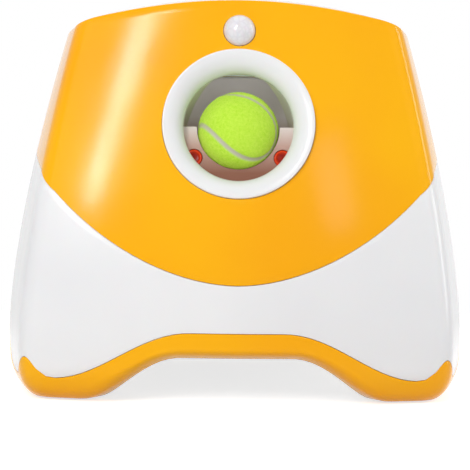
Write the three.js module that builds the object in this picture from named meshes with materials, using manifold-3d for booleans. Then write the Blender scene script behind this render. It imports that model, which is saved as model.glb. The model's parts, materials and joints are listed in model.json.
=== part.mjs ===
// An automatic ball launcher for dogs: a ball dropped into the hopper falls into the pocket, and a
// spring-driven striker, wound by a geared motor, throws it out of the mouth.
// Millimetres, +Z up, the mouth faces -Y, origin on the floor under the middle of the housing.

import * as THREE from 'three';
import { mergeVertices } from 'three/addons/utils/BufferGeometryUtils.js';
import Module from 'manifold-3d';

const wasm = await Module();
wasm.setup();

// Driving dimensions of the housing
const ridgeHalfWidth = 127.3;      // middle to a corner ridge at the widest level
const ridgeHalfDepth = 125.8;
const widestLevel = 35;            // height at which the housing is widest
const taperHeight = 183;           // height over which the ridges draw in by wallTaper
const wallTaper = 29.1;
const leanPower = 1.53;             // how the walls' lean grows with height
const footTuck = 14;               // how far the feet round under
const footRoundLevel = 22;         // level at which that rounding starts
const faceRadius = 489;            // plan radius of each bowed face
const cornerInset = 9;             // where the rounding of a ridge starts
const wall = 2.6;                  // housing wall
const gap = 0.3;                   // clearance between pieces that touch
const cutOverrun = 3;              // how far a cutting tool runs past what it cuts
const facetSag = 0.6;              // how far a facet's middle may lie inside its curved face
const weldTolerance = 0.0001;

// Levels of the edges
const topMiddleLevel = 238.8;      // top edge at the middle of a face
const topEdgeRise = 11;          // the arch of the top edge over the front and the rear
const topSideLevel = 218;          // top edge at the middle of a side
const topSideRise = 4;             // and how much it rises towards the ridges
const swoopLow = 71.2;             // lowest point of the orange front
const swoopRise = 53.3;
const swoopPower = 1.86;
const sideEdgeLevel = 137;         // orange edge on the sides, at the ridges
const sideEdgeRise = 9;
const bandMiddleLevel = 43;        // top edge of the base band over an arch
const bandFootLevel = 14.5;        // and over a foot
const bandStartShare = 0.24;
const bandEndShare = 0.93;
const bandRidgeRise = 4.9;
const bandCornerRise = 7;
const archLevel = 27.4;            // underside of an arch
const archStartShare = 0.3;
const archEndShare = 0.86;
const footLift = 1;                // base ring above the floor, on its rubber pads

// Launch line, mouth and ball
const mouthLevel = 165.8;
const mouthOffset = 6;             // the launch line crosses the mouth above its middle
const launchAngle = THREE.MathUtils.degToRad(30);
const ballRadius = 24.5;
const ballRest = -24;              // ball's place on the launch line at rest

// Plan of the housing

const faceSteps = 10;
const cornerSteps = 3;

function ridgeHalf(half, level) {
  if (level >= widestLevel) {
    return half - wallTaper * ((level - widestLevel) / taperHeight) ** leanPower;
  }
  const down = THREE.MathUtils.clamp((footRoundLevel - level) / footRoundLevel, 0, 1);
  return half - footTuck * (1 - Math.sqrt(1 - down * down));
}

function turned(face, across, out) {
  const angle = face * Math.PI / 2;
  return new THREE.Vector2(
    Math.cos(angle) * across + Math.sin(angle) * out,
    Math.sin(angle) * across - Math.cos(angle) * out,
  );
}

function facePoint(face, along, halfX, halfY) {
  const half = face % 2 === 0 ? halfX : halfY;
  const reach = face % 2 === 0 ? halfY : halfX;
  const across = along * (half - cornerInset);
  const rise = Math.sqrt(faceRadius ** 2 - across ** 2);
  const out = reach + rise - Math.sqrt(faceRadius ** 2 - half ** 2);
  return { point: turned(face, across, out), tangent: turned(face, 1, -across / rise) };
}

function cornerPoint(face, share, halfX, halfY) {
  const start = facePoint(face, 1, halfX, halfY);
  const end = facePoint((face + 1) % 4, -1, halfX, halfY);
  const chord = end.point.clone().sub(start.point);
  const reach = chord.cross(end.tangent) / start.tangent.cross(end.tangent);
  const peak = start.point.clone().addScaledVector(start.tangent, reach);
  return start.point.clone().multiplyScalar((1 - share) ** 2)
    .addScaledVector(peak, 2 * share * (1 - share))
    .addScaledVector(end.point, share ** 2);
}

// Stations run round the plan: along a face from -1 to 1, then through the corner
const stations = [];
for (let face = 0; face < 4; face += 1) {
  for (let i = 0; i <= faceSteps; i += 1) {
    stations.push({ face, along: -1 + 2 * i / faceSteps, turn: 0 });
  }
  for (let i = 1; i < cornerSteps; i += 1) {
    stations.push({ face, along: 1, turn: i / cornerSteps });
  }
}

function surfacePoint(station, level, inset) {
  const halfX = ridgeHalf(ridgeHalfWidth, level) - inset;
  const halfY = ridgeHalf(ridgeHalfDepth, level) - inset;
  const plan = station.turn === 0
    ? facePoint(station.face, station.along, halfX, halfY).point
    : cornerPoint(station.face, station.turn, halfX, halfY);
  return new THREE.Vector3(plan.x, plan.y, level);
}

function edgeHeight(station, onFace, cornerRise) {
  if (station.turn === 0) {
    return onFace(station.face, station.along);
  }
  const from = onFace(station.face, 1);
  const to = onFace((station.face + 1) % 4, -1);
  return from + (to - from) * station.turn + cornerRise * Math.sin(Math.PI * station.turn);
}

function ramp(value, start, end) {
  const share = THREE.MathUtils.clamp((value - start) / (end - start), 0, 1);
  return 0.5 - 0.5 * Math.cos(Math.PI * share);
}

// The top edge arches over the front and the rear and hangs low along the sides
function topEdge(station) {
  const onFace = (face, along) => (face % 2 === 0
    ? topMiddleLevel - topEdgeRise * along ** 2
    : topSideLevel + topSideRise * along ** 2);
  return edgeHeight(station, onFace, 0);
}

function swoopEdge(station) {
  const onFace = (face, along) => (face % 2 === 0
    ? swoopLow + swoopRise * Math.abs(along) ** swoopPower
    : sideEdgeLevel + sideEdgeRise * (1 - along ** 2));
  return edgeHeight(station, onFace, 0);
}

function bandEdge(station) {
  const onFace = (face, along) => {
    const drop = ramp(Math.abs(along), bandStartShare, bandEndShare);
    const lift = ramp(Math.abs(along), bandEndShare, 2 - bandEndShare);
    return bandMiddleLevel + (bandFootLevel - bandMiddleLevel) * drop + 2 * bandRidgeRise * lift;
  };
  return edgeHeight(station, onFace, bandCornerRise);
}

function footShare(station) {
  return edgeHeight(station, (face, along) => ramp(Math.abs(along), archStartShare, archEndShare), 0);
}

function archEdge(station) {
  return archLevel + (footLift - archLevel) * footShare(station);
}

// Lean of a face's middle line, and frames that stand on it
function leanAt(level) {
  const share = (level - widestLevel) / taperHeight;
  const slope = wallTaper * leanPower / taperHeight * share ** (leanPower - 1);
  const half = ridgeHalf(ridgeHalfWidth, level);
  return Math.atan(slope * (1 + half / Math.sqrt(faceRadius ** 2 - half ** 2)));
}

function middleOut(level) {
  const half = ridgeHalf(ridgeHalfWidth, level);
  return ridgeHalf(ridgeHalfDepth, level) + faceRadius - Math.sqrt(faceRadius ** 2 - half ** 2);
}

// A frame whose Z points forward (or back) and up by the given angle, and whose Y points up
function frameAt(origin, angle, facing = 1) {
  const across = new THREE.Vector3(facing, 0, 0);
  const up = new THREE.Vector3(0, facing * Math.sin(angle), Math.cos(angle));
  const out = new THREE.Vector3(0, -facing * Math.cos(angle), Math.sin(angle));
  return new THREE.Matrix4().makeBasis(across, up, out).setPosition(origin);
}

// Solids

function facingOut(geometry) {
  const position = geometry.attributes.position;
  const index = geometry.index.array;
  const [a, b, c] = [new THREE.Vector3(), new THREE.Vector3(), new THREE.Vector3()];
  let volume = 0;
  for (let i = 0; i < index.length; i += 3) {
    a.fromBufferAttribute(position, index[i]);
    b.fromBufferAttribute(position, index[i + 1]);
    c.fromBufferAttribute(position, index[i + 2]);
    volume += a.dot(b.cross(c));
  }
  if (volume < 0) {
    for (let i = 0; i < index.length; i += 3) {
      [index[i + 1], index[i + 2]] = [index[i + 2], index[i + 1]];
    }
  }
  return geometry;
}

function solid(geometry, frame) {
  const bare = geometry.clone();
  bare.deleteAttribute('normal');
  bare.deleteAttribute('uv');
  if (frame) {
    bare.applyMatrix4(frame);
  }
  const merged = facingOut(mergeVertices(bare, weldTolerance));
  return new wasm.Manifold(new wasm.Mesh({
    numProp: 3,
    vertProperties: new Float32Array(merged.attributes.position.array),
    triVerts: new Uint32Array(merged.index.array),
  }));
}

function join(solids) {
  return solids.reduce((sum, next) => sum.add(next));
}

function cut(body, tools) {
  return tools.reduce((rest, tool) => rest.subtract(tool), body);
}

function block(width, depth, height, x, y, z, frame) {
  return solid(new THREE.BoxGeometry(width, depth, height).translate(x, y, z), frame);
}

// A round rod along Z, from one level to another
function rod(radius, from, to, sides, x = 0, y = 0, frame = undefined) {
  const geometry = new THREE.CylinderGeometry(radius, radius, to - from, sides);
  geometry.rotateX(Math.PI / 2).translate(x, y, (from + to) / 2);
  return solid(geometry, frame);
}

// A revolved piece round Z from [radius, height] points
function revolved(profile, sides, frame) {
  const points = profile.map(([radius, height]) => new THREE.Vector2(radius, height));
  if (profile[0][0] > 0) {
    points.push(points[0].clone());
  }
  return solid(new THREE.LatheGeometry(points, sides).rotateX(Math.PI / 2), frame);
}

function slab(shape, from, to, frame, curveSegments = 6) {
  const geometry = new THREE.ExtrudeGeometry(shape, { depth: to - from, bevelEnabled: false, curveSegments });
  return solid(geometry.translate(0, 0, from), frame);
}

// A ring with the same number of points at each station
function ringOf(loops) {
  const rows = loops[0].length;
  const positions = loops.flat().flatMap((point) => point.toArray());
  const index = [];
  for (let i = 0; i < loops.length; i += 1) {
    const next = (i + 1) % loops.length;
    for (let k = 0; k < rows; k += 1) {
      const up = (k + 1) % rows;
      index.push(i * rows + k, next * rows + k, next * rows + up);
      index.push(i * rows + k, next * rows + up, i * rows + up);
    }
  }
  const geometry = new THREE.BufferGeometry();
  geometry.setAttribute('position', new THREE.Float32BufferAttribute(positions, 3));
  geometry.setIndex(index);
  return solid(geometry);
}

function shellRing(profileAt) {
  return ringOf(stations.map((station) => (
    profileAt(station).map(([level, inset]) => surfacePoint(station, level, inset)))));
}

// The full inside of the housing between two levels, drawn in by an inset
function envelope(inset, low, high, steps) {
  const count = stations.length;
  const positions = [0, 0, low, 0, 0, high];
  const index = [];
  for (let k = 0; k <= steps; k += 1) {
    const level = low + (high - low) * k / steps;
    stations.forEach((station) => positions.push(...surfacePoint(station, level, inset).toArray()));
  }
  for (let i = 0; i < count; i += 1) {
    const next = (i + 1) % count;
    index.push(0, 2 + next, 2 + i, 1, 2 + steps * count + i, 2 + steps * count + next);
    for (let k = 0; k < steps; k += 1) {
      const base = 2 + k * count;
      index.push(base + i, base + next, base + count + next);
      index.push(base + i, base + count + next, base + count + i);
    }
  }
  const geometry = new THREE.BufferGeometry();
  geometry.setAttribute('position', new THREE.Float32BufferAttribute(positions, 3));
  geometry.setIndex(index);
  return solid(geometry);
}

function between(low, high, share) {
  return low + (high - low) * share;
}

const corners = [[-1, -1], [1, -1], [1, 1], [-1, 1]];
const cornerNames = ['front_left', 'front_right', 'rear_right', 'rear_left'];

const finishes = {
  orange: { color: 0xffb000, roughness: 0.22, metalness: 0 },
  white: { color: 0xf2f2f0, roughness: 0.28, metalness: 0 },
  pearl: { color: 0xeeeaf0, roughness: 0.35, metalness: 0 },
  red: { color: 0xc02a10, roughness: 0.2, metalness: 0 },
  felt: { color: 0xc0f030, roughness: 0.95, metalness: 0 },
  rubber: { color: 0x3a3a3c, roughness: 0.85, metalness: 0 },
  steel: { color: 0xb8bcc0, roughness: 0.3, metalness: 1 },
  brass: { color: 0xc8a24a, roughness: 0.35, metalness: 1 },
  nylon: { color: 0xe4e0d2, roughness: 0.5, metalness: 0 },
  grey: { color: 0x9a9ca0, roughness: 0.5, metalness: 0 },
  black: { color: 0x202124, roughness: 0.5, metalness: 0 },
  board: { color: 0x1f6b3a, roughness: 0.45, metalness: 0 },
  cell: { color: 0x2b4a78, roughness: 0.4, metalness: 0.2 },
};

const launcher = new THREE.Group();
const materials = Object.fromEntries(Object.entries(finishes).map(([name, values]) => (
  [name, new THREE.MeshStandardMaterial(values)])));

function place(name, body, finish) {
  const { numProp, vertProperties, triVerts } = body.getMesh();
  const geometry = new THREE.BufferGeometry();
  const positions = [];
  for (let i = 0; i < vertProperties.length; i += numProp) {
    positions.push(vertProperties[i], vertProperties[i + 1], vertProperties[i + 2]);
  }
  geometry.setAttribute('position', new THREE.Float32BufferAttribute(positions, 3));
  geometry.setIndex([...triVerts]);
  geometry.computeVertexNormals();
  const mesh = new THREE.Mesh(geometry, materials[finish]);
  mesh.name = name;
  launcher.add(mesh);
}

// Frames of the mouth, the launch line, the dome and the rear controls
const mouthLean = leanAt(mouthLevel);
const mouthMiddle = new THREE.Vector3(0, -middleOut(mouthLevel), mouthLevel);
const mouthFrame = frameAt(mouthMiddle, mouthLean);
const launchStart = new THREE.Vector3(0, mouthOffset, 0).applyMatrix4(mouthFrame);
const launchFrame = frameAt(launchStart, launchAngle);

function onLaunch(up, forward) {
  return new THREE.Vector3(0, up, forward).applyMatrix4(launchFrame);
}

// Shared fits between pieces
const ringRadius = 45.2;           // outside of the mouth ring
const ringDepth = 16;              // how far the ring reaches behind the panel
const bossRadius = 4;
const bossInset = 8.4;             // pocket bosses inside the ring's reach, across and up
const bossReach = ringRadius - bossInset;
const pocketFlange = 2.5;
const screwRadius = 1.5;
const screwHeadRadius = 3;
const screwHeadHeight = 2.2;
const screwBite = 8;               // thread length inside a boss
const screwFit = 0.1;
const screwSides = 6;
const domeLevel = 220.6;
const domeRadius = 9.4;
const domeFlange = 1.2;
const sensorPostReach = 14.5;
const sensorPostRadius = 1.5;
const sensorBoardDepth = 9;
const controlLevel = 150;
const controlLength = 84;
const controlHeight = 30;
const controlProud = 0.5;
const controlDepth = 5.6;          // rear flange of the panel, behind the housing's face
const socketLevel = 56.5;
const socketAcross = 42;
const socketRadius = 6;
const legInsetX = 24.3;            // a leg's middle inside the tucked foot of the ridges
const legInsetY = 24.8;
const legReachX = ridgeHalfWidth - footTuck - legInsetX;
const legReachY = ridgeHalfDepth - footTuck - legInsetY;
const postRadius = 4;
const postTop = 60;
const legFloorTop = 8.2;
const headRadius = 9.6;            // striker's head
const guideFloorThickness = 3;

const innerTrim = envelope(wall / 2, footLift, topMiddleLevel, 8);

const domeMiddle = new THREE.Vector3(0, -middleOut(domeLevel), domeLevel);
const domeFrame = frameAt(domeMiddle, leanAt(domeLevel));
const controlMiddle = new THREE.Vector3(0, middleOut(controlLevel), controlLevel);
const controlFrame = frameAt(controlMiddle, leanAt(controlLevel), -1);
const socketFace = middleOut(socketLevel)
  - faceRadius + Math.sqrt(faceRadius ** 2 - socketAcross ** 2);
const socketFrame = frameAt(new THREE.Vector3(), leanAt(socketLevel), -1)
  .premultiply(new THREE.Matrix4().makeRotationZ(Math.asin(socketAcross / faceRadius)))
  .setPosition(-socketAcross, socketFace, socketLevel);

// A bar with round ends between two points
function barShape(from, to, radius) {
  const angle = Math.atan2(to[1] - from[1], to[0] - from[0]);
  const shape = new THREE.Shape();
  shape.absarc(to[0], to[1], radius, angle - Math.PI / 2, angle + Math.PI / 2, false);
  shape.absarc(from[0], from[1], radius, angle + Math.PI / 2, angle + 3 * Math.PI / 2, false);
  shape.closePath();
  return shape;
}

function ovalShape(length, height) {
  const reach = (length - height) / 2;
  return barShape([-reach, 0], [reach, 0], height / 2);
}

// Housing

const ledgeDrop = 1.4;             // the hopper's ledge below the top edge
const ledgeWidth = 3;
const ledgeHeight = 2.5;
const upperShares = [0, 0.3, 0.56, 0.79, 1];

function upperHousing() {
  const shell = shellRing((station) => {
    const low = swoopEdge(station);
    const high = topEdge(station);
    const outer = upperShares.map((share) => [between(low, high, share), 0]);
    const ledge = high - ledgeDrop;
    return [
      ...outer,
      [high, wall],
      [ledge, wall],
      [ledge, wall + ledgeWidth],
      [ledge - ledgeHeight, wall + ledgeWidth],
      [ledge - ledgeHeight - ledgeWidth, wall],
      ...upperShares.slice(0, -1).reverse().map((share) => [between(low, high, share), wall]),
    ];
  });
  const bosses = corners.map(([x, y]) => (
    rod(bossRadius, -ringDepth, cutOverrun, 10, x * bossReach, y * bossReach, mouthFrame)));
  const sensorPosts = [-1, 1].map((x) => (
    rod(sensorPostRadius, -sensorBoardDepth, cutOverrun, 8, x * sensorPostReach, 0, domeFrame)));
  const trimmed = join([...bosses, ...sensorPosts]).intersect(innerTrim);
  const screwHoles = corners.map(([x, y]) => (
    rod(screwRadius + screwFit, -ringDepth - cutOverrun, screwBite - ringDepth, screwSides,
      x * bossReach, y * bossReach, mouthFrame)));
  return cut(shell.add(trimmed), [
    rod(ringRadius + gap, -ringDepth, ringDepth, 40, 0, 0, mouthFrame),
    rod(domeRadius + gap, -domeRadius, domeRadius, 24, 0, 0, domeFrame),
    slab(ovalShape(controlLength + 2 * gap, controlHeight + 2 * gap),
      -controlHeight, controlHeight, controlFrame),
    ...screwHoles,
  ]);
}

const tongue = 2;                  // thickness of the lap joints
const tongueHeight = 5;
const shellShares = [0, 0.1, 0.28, 0.62, 1];
const webStartShare = 0.1;

function bodyShell() {
  const lap = wall + gap + tongue;
  const shell = shellRing((station) => {
    const low = bandEdge(station) + gap;
    const high = swoopEdge(station) - gap;
    const outer = shellShares.map((share) => [between(low, high, share), 0]);
    const foot = low + tongueHeight;
    const neck = high - tongueHeight;
    return [
      ...outer,
      [high, wall + gap],
      [high + tongueHeight, wall + gap],
      [high + tongueHeight, lap],
      [neck, lap],
      [neck - tongue, wall],
      ...shellShares.slice(2, -1).reverse().map((share) => [between(foot + tongue, neck - tongue, share), wall]),
      [foot + tongue, wall],
      [foot, lap],
      [low - tongueHeight, lap],
      [low - tongueHeight, wall + facetSag + gap],
      [low, wall + facetSag + gap],
    ];
  });
  const posts = corners.map(([x, y]) => (
    rod(postRadius, legFloorTop + gap, postTop, 12, x * legReachX, y * legReachY)));
  const webs = corners.map(([x, y]) => {
    const frame = new THREE.Matrix4().makeRotationZ(Math.atan2(y, x))
      .setPosition(x * legReachX, y * legReachY, 0);
    const low = between(widestLevel, postTop, webStartShare);
    return block(ridgeHalfWidth, wall, postTop - low, ridgeHalfWidth / 2, 0, (postTop + low) / 2, frame);
  });
  const holes = corners.map(([x, y]) => (
    rod(screwRadius + screwFit, 0, legFloorTop + gap + 2 * screwBite, screwSides, x * legReachX, y * legReachY)));
  const socketHole = rod(socketRadius + gap, -2 * wall, 2 * wall, 20, 0, 0, socketFrame);
  return cut(shell.add(join([...posts, ...webs]).intersect(innerTrim)), [...holes, socketHole]);
}

const lipInset = 7;                // how far the arches' lower lip rounds under
const lipShares = [0.17, 0.42, 0.7];
const lipRoundShare = 0.36;
const flangeDepth = 10;            // inner flange along the bottom of the band
const flangeHeight = 4.3;

function baseRing() {
  return shellRing((station) => {
    const low = archEdge(station);
    const high = bandEdge(station);
    const lip = lipInset * (1 - footShare(station));
    return [
      [low, lip],
      [between(low, high, lipShares[0]), lipRoundShare * lip],
      [between(low, high, lipShares[1]), 0],
      [between(low, high, lipShares[2]), 0],
      [high, 0],
      [high, wall],
      [high - tongueHeight, wall],
      [low + flangeHeight, wall],
      [low + flangeHeight, flangeDepth],
      [low, flangeDepth],
    ];
  });
}

place('upper_housing', upperHousing(), 'orange');
place('body_shell', bodyShell(), 'white');
place('base_ring', baseRing(), 'orange');

// Underside: cover with legs, rubber pads, screws, battery box and door

const plateLevel = archLevel + flangeHeight + gap;
const plateThickness = 2.4;
const plateTop = plateLevel + plateThickness;
const legRadius = 14;
const legWall = 2.2;
const legFloor = 3.4;
const padRadius = 12.5;
const cellRadius = 13.1;
const cellLength = 49;
const cellFit = 0.4;
const boxWall = 2;
const boxMiddle = -26;
const contactThickness = 1.2;
const boxInsideX = 2 * (cellLength + contactThickness) + 5 * cellFit;
const boxInsideY = 3 * (2 * cellRadius + cellFit) + cellFit;
const boxInsideZ = 2 * (cellRadius + cellFit);
const doorThickness = plateThickness;
const doorMargin = 4;
const doorLength = boxInsideX + 2 * doorMargin;
const doorWidth = boxInsideY + 2 * doorMargin;
const gripRadius = 9;
const gripDepthShare = 0.16;
const terminalShare = 0.25;        // radius of a cell's terminal
const terminalHeight = 1.6;
const pillarRadius = 3;
const pillarReach = 4.5;
const pillarPlace = 44;            // pillars under the striker's guide

function roundedShape(length, width, radius) {
  const shape = new THREE.Shape();
  corners.forEach(([x, y], i) => {
    const start = Math.PI + i * Math.PI / 2;
    shape.absarc(x * (length / 2 - radius), y * (width / 2 - radius), radius, start, start + Math.PI / 2, false);
  });
  shape.closePath();
  return shape;
}

function bottomCover() {
  const plate = envelope(wall + tongue + facetSag + 3 * gap, plateLevel, plateTop, 1);
  const doorHole = slab(roundedShape(doorLength + 2 * gap, doorWidth + 2 * gap, doorMargin),
    plateLevel - cutOverrun, plateTop + cutOverrun, new THREE.Matrix4().setPosition(0, boxMiddle, 0), 3);
  const legs = corners.map(([x, y]) => (
    rod(legRadius, legFloor, plateTop, 16, x * legReachX, y * legReachY)));
  const wells = corners.map(([x, y]) => (
    rod(legRadius - legWall, legFloorTop, plateTop + cutOverrun, 16, x * legReachX, y * legReachY)));
  const sinks = corners.map(([x, y]) => (
    rod(screwHeadRadius + gap, legFloor - cutOverrun, legFloor + screwHeadHeight + gap, 12,
      x * legReachX, y * legReachY)));
  const holes = corners.map(([x, y]) => (
    rod(screwRadius + screwFit, 0, legFloorTop + cutOverrun, screwSides, x * legReachX, y * legReachY)));
  const pillars = [-1, 1].map((x) => (
    rod(pillarRadius, plateLevel, mouthLevel, 12, x * pillarReach, pillarPlace)));
  const guideUnderside = headRadius + guideFloorThickness + 2 * gap;
  const aboveGuide = block(mouthLevel, mouthLevel, 4 * mouthLevel,
    0, mouthLevel / 2 - guideUnderside, 0, launchFrame);
  return cut(join([plate, ...legs]), [...wells, ...sinks, ...holes, doorHole])
    .add(join(pillars).subtract(aboveGuide));
}

// A screw along Z with its head at the low end
function screw(x, y, headLow, reach, frame) {
  return rod(screwHeadRadius, headLow, headLow + screwHeadHeight, 10, x, y, frame)
    .add(rod(screwRadius, headLow + screwHeadHeight / 2, reach, screwSides, x, y, frame));
}

function batteryDoor() {
  const frame = new THREE.Matrix4().setPosition(0, boxMiddle, 0);
  const door = slab(roundedShape(doorLength, doorWidth, doorMargin), plateLevel, plateTop, frame, 3);
  const grip = rod(gripRadius, -gripRadius, gripRadius, 16).scale([1, 1, gripDepthShare])
    .translate([0, boxMiddle + doorWidth / 2 - 2 * gripRadius, plateLevel]);
  return door.subtract(grip);
}

const cellLow = plateTop + gap;
const cellLevel = cellLow + cellRadius;

function batteryBox() {
  const high = cellLow + boxInsideZ;
  const outer = block(boxInsideX + 2 * boxWall, boxInsideY + 2 * boxWall, high + boxWall - cellLow,
    0, boxMiddle, (high + boxWall + cellLow) / 2);
  const rimFlange = block(doorLength + 3 * doorMargin, doorWidth + 3 * doorMargin, boxWall,
    0, boxMiddle, cellLow + boxWall / 2);
  const inside = block(boxInsideX, boxInsideY, boxInsideZ + cutOverrun, 0, boxMiddle,
    high - (boxInsideZ + cutOverrun) / 2);
  return outer.add(rimFlange).subtract(inside);
}

// Along the cells, X is their axis
const alongX = new THREE.Matrix4().makeBasis(
  new THREE.Vector3(0, 1, 0), new THREE.Vector3(0, 0, 1), new THREE.Vector3(1, 0, 0));

function cell(side, row) {
  const profile = [
    [0, -cellLength / 2],
    [cellRadius, -cellLength / 2],
    [cellRadius, cellLength / 2 - terminalHeight],
    [terminalShare * cellRadius, cellLength / 2 - terminalHeight],
    [terminalShare * cellRadius, cellLength / 2],
    [0, cellLength / 2],
  ];
  const frame = alongX.clone().setPosition(
    side * (cellLength / 2 + cellFit / 2), boxMiddle + row * (2 * cellRadius + cellFit), cellLevel);
  return revolved(profile, 16, frame);
}

function contactPlate(side) {
  const middle = side * (cellLength + 1.5 * cellFit + contactThickness / 2);
  return block(contactThickness, boxInsideY - 2 * cellFit, 1.5 * cellRadius, middle, boxMiddle, cellLevel);
}

place('bottom_cover', bottomCover(), 'white');
corners.forEach(([x, y], i) => {
  const where = cornerNames[i];
  place(`foot_pad_${where}`, rod(padRadius, 0, legFloor - gap, 24, x * legReachX, y * legReachY), 'rubber');
  place(`base_screw_${where}`,
    screw(x * legReachX, y * legReachY, legFloor, legFloorTop + 2 * screwBite, undefined), 'steel');
});
place('battery_door', batteryDoor(), 'white');
place('battery_box', batteryBox(), 'grey');
[-1, 1].forEach((side) => {
  const name = side < 0 ? 'left' : 'right';
  [-1, 0, 1].forEach((row) => place(`cell_${name}_${row + 2}`, cell(side, row), 'cell'));
  place(`contact_plate_${name}`, contactPlate(side), 'steel');
});

// Hopper, mouth ring and launch pocket

const rimProud = 1.2;
const rimThickness = 2.3;
const hopperWall = 2.2;
const rimWidth = 15;               // flat rim of the hopper, from the housing's outside
const bowlInset = 17;
const bowlLevel = 211.5;
const throatRadius = 29;
const throatTop = 201.5;
const throatSeat = 193.3;          // where the hopper stands on the pocket
const pocketRadius = 34;
const pocketInset = 63.8;          // the pocket's middle behind the front ridges
const pocketMiddle = pocketInset - ridgeHalfDepth;
const throatBack = 3.7;            // the throat's middle behind the pocket's
const throatMiddle = pocketMiddle + throatBack;
const pocketWall = 2.2;

function hopper() {
  const centre = new THREE.Vector2(0, throatMiddle);
  return ringOf(stations.map((station) => {
    const high = topEdge(station) + rimProud;
    const low = high - rimThickness;
    const rimOut = wall + gap;
    const inside = surfacePoint(station, bowlLevel, bowlInset);
    const angle = Math.atan2(inside.y - centre.y, inside.x - centre.x);
    const onThroat = (radius, level) => new THREE.Vector3(
      centre.x + radius * Math.cos(angle), centre.y + radius * Math.sin(angle), level);
    return [
      onThroat(throatRadius, throatSeat),
      onThroat(pocketRadius, throatSeat),
      onThroat(pocketRadius, throatSeat + hopperWall),
      onThroat(throatRadius + hopperWall, throatSeat + hopperWall),
      onThroat(throatRadius + hopperWall, throatTop - hopperWall),
      surfacePoint(station, bowlLevel - hopperWall, bowlInset - hopperWall),
      surfacePoint(station, low, rimWidth - hopperWall),
      surfacePoint(station, low, rimOut),
      surfacePoint(station, high, rimOut),
      surfacePoint(station, high, rimWidth),
      inside,
      onThroat(throatRadius, throatTop),
    ];
  }));
}

const ringCrest = 1;
const ringFlare = 12;              // how deep the lip flares in
const boreRadius = 32.7;
const ringRear = 33.5;
const ringSkin = 2.4;

function mouthRing() {
  const flareSteps = 4;
  const lip = [];
  for (let i = 0; i <= flareSteps; i += 1) {
    const angle = i / flareSteps * Math.PI / 2;
    lip.push([
      boreRadius + (ringRadius - boreRadius) * (1 - Math.cos(angle)),
      ringCrest - ringFlare + ringFlare * Math.sin(angle),
    ]);
  }
  const rear = lip.slice(2, 3).map(([radius, height]) => [radius + ringSkin / 2, height - ringSkin]);
  const profile = [
    [ringRear, -ringDepth + gap],
    ...lip,
    [ringRadius, -ringDepth / 2],
    [ringRadius - ringSkin, -ringDepth / 2],
    [ringRadius - ringSkin, ringCrest - ringSkin],
    ...rear,
    [ringRear + ringSkin, -ringDepth + gap],
  ];
  return revolved(profile, 40, mouthFrame);
}

// Places along the launch line, in mm ahead of the mouth
const seatPlace = (launchStart.y - pocketMiddle) / Math.cos(launchAngle);
const strikerHole = 13;
const bulkheadPlace = seatPlace - Math.sqrt(ballRadius ** 2 - strikerHole ** 2) - gap;
const bulkheadThickness = 3;
const troughRadius = ballRadius + gap;
const windowRadius = 5;
const windowReach = 26.4;          // windows left and right of the mouth's middle
const windowDrop = 17.4;           // and below it, where the lip covers their outer edges
const windowFlange = 1.7;
const windowFlangeThickness = 1.4;
const chuteLowShare = 0.4;

// A frame on the pocket's front face whose Z points back into the housing
function windowFrame(side) {
  const turn = new THREE.Matrix4().makeRotationY(Math.PI);
  return mouthFrame.clone()
    .multiply(new THREE.Matrix4().setPosition(side * windowReach, -windowDrop, -ringDepth - gap))
    .multiply(turn);
}

function launchPocket() {
  const far = 4 * mouthLevel;
  const above = (offset) => block(far, far, far, 0, offset + far / 2, 0, launchFrame);
  const ahead = (forward) => block(far, far, far, 0, 0, forward + far / 2, launchFrame);
  const front = block(far, far, far, 0, 0, -ringDepth + far / 2, mouthFrame);
  const rear = bulkheadPlace - bulkheadThickness;
  const chuteLow = between(plateTop, mouthLevel, chuteLowShare);
  const chute = (radius, high) => rod(radius, chuteLow, high, 28, 0, pocketMiddle);
  const passage = (radius, from) => rod(radius, from, ringDepth, 28, 0, 0, launchFrame);
  const outer = join([
    chute(pocketRadius + pocketWall, throatSeat - gap).intersect(above(-pocketWall)).intersect(ahead(rear)),
    passage(pocketRadius + pocketWall, seatPlace).intersect(above(-pocketWall)),
    passage(troughRadius + pocketWall, rear),
    rod(ringRadius + cutOverrun, -ringDepth - pocketFlange, -ringDepth, 32, 0, 0, mouthFrame),
    ...corners.map(([x, y]) => rod(bossRadius + 1.5 * gap, -ringDepth - pocketFlange, -ringDepth, 12,
      x * bossReach, y * bossReach, mouthFrame)),
  ]);
  const inner = join([
    chute(pocketRadius, throatSeat + cutOverrun).intersect(above(0)).intersect(ahead(bulkheadPlace)),
    passage(pocketRadius, seatPlace).intersect(above(0)),
    passage(troughRadius, bulkheadPlace),
  ]);
  const screwHoles = corners.map(([x, y]) => rod(screwRadius + screwFit, -2 * ringDepth, 0, screwSides,
    x * bossReach, y * bossReach, mouthFrame));
  const windows = [-1, 1].map((side) => (
    rod(windowRadius + gap, -cutOverrun, pocketFlange + 2 * gap, 16, 0, 0, windowFrame(side))));
  const hole = rod(strikerHole, rear - cutOverrun, bulkheadPlace + cutOverrun, 24, 0, 0, launchFrame);
  return cut(outer, [inner, front.translate(gapAlongMouth), hole, ...windows, ...screwHoles]);
}

const gapAlongMouth = [0, Math.cos(mouthLean) * gap, -Math.sin(mouthLean) * gap];

place('hopper', hopper(), 'white');
place('mouth_ring', mouthRing(), 'white');
place('launch_pocket', launchPocket(), 'white');

// Striker, its spring and its guide, along the launch line

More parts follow.
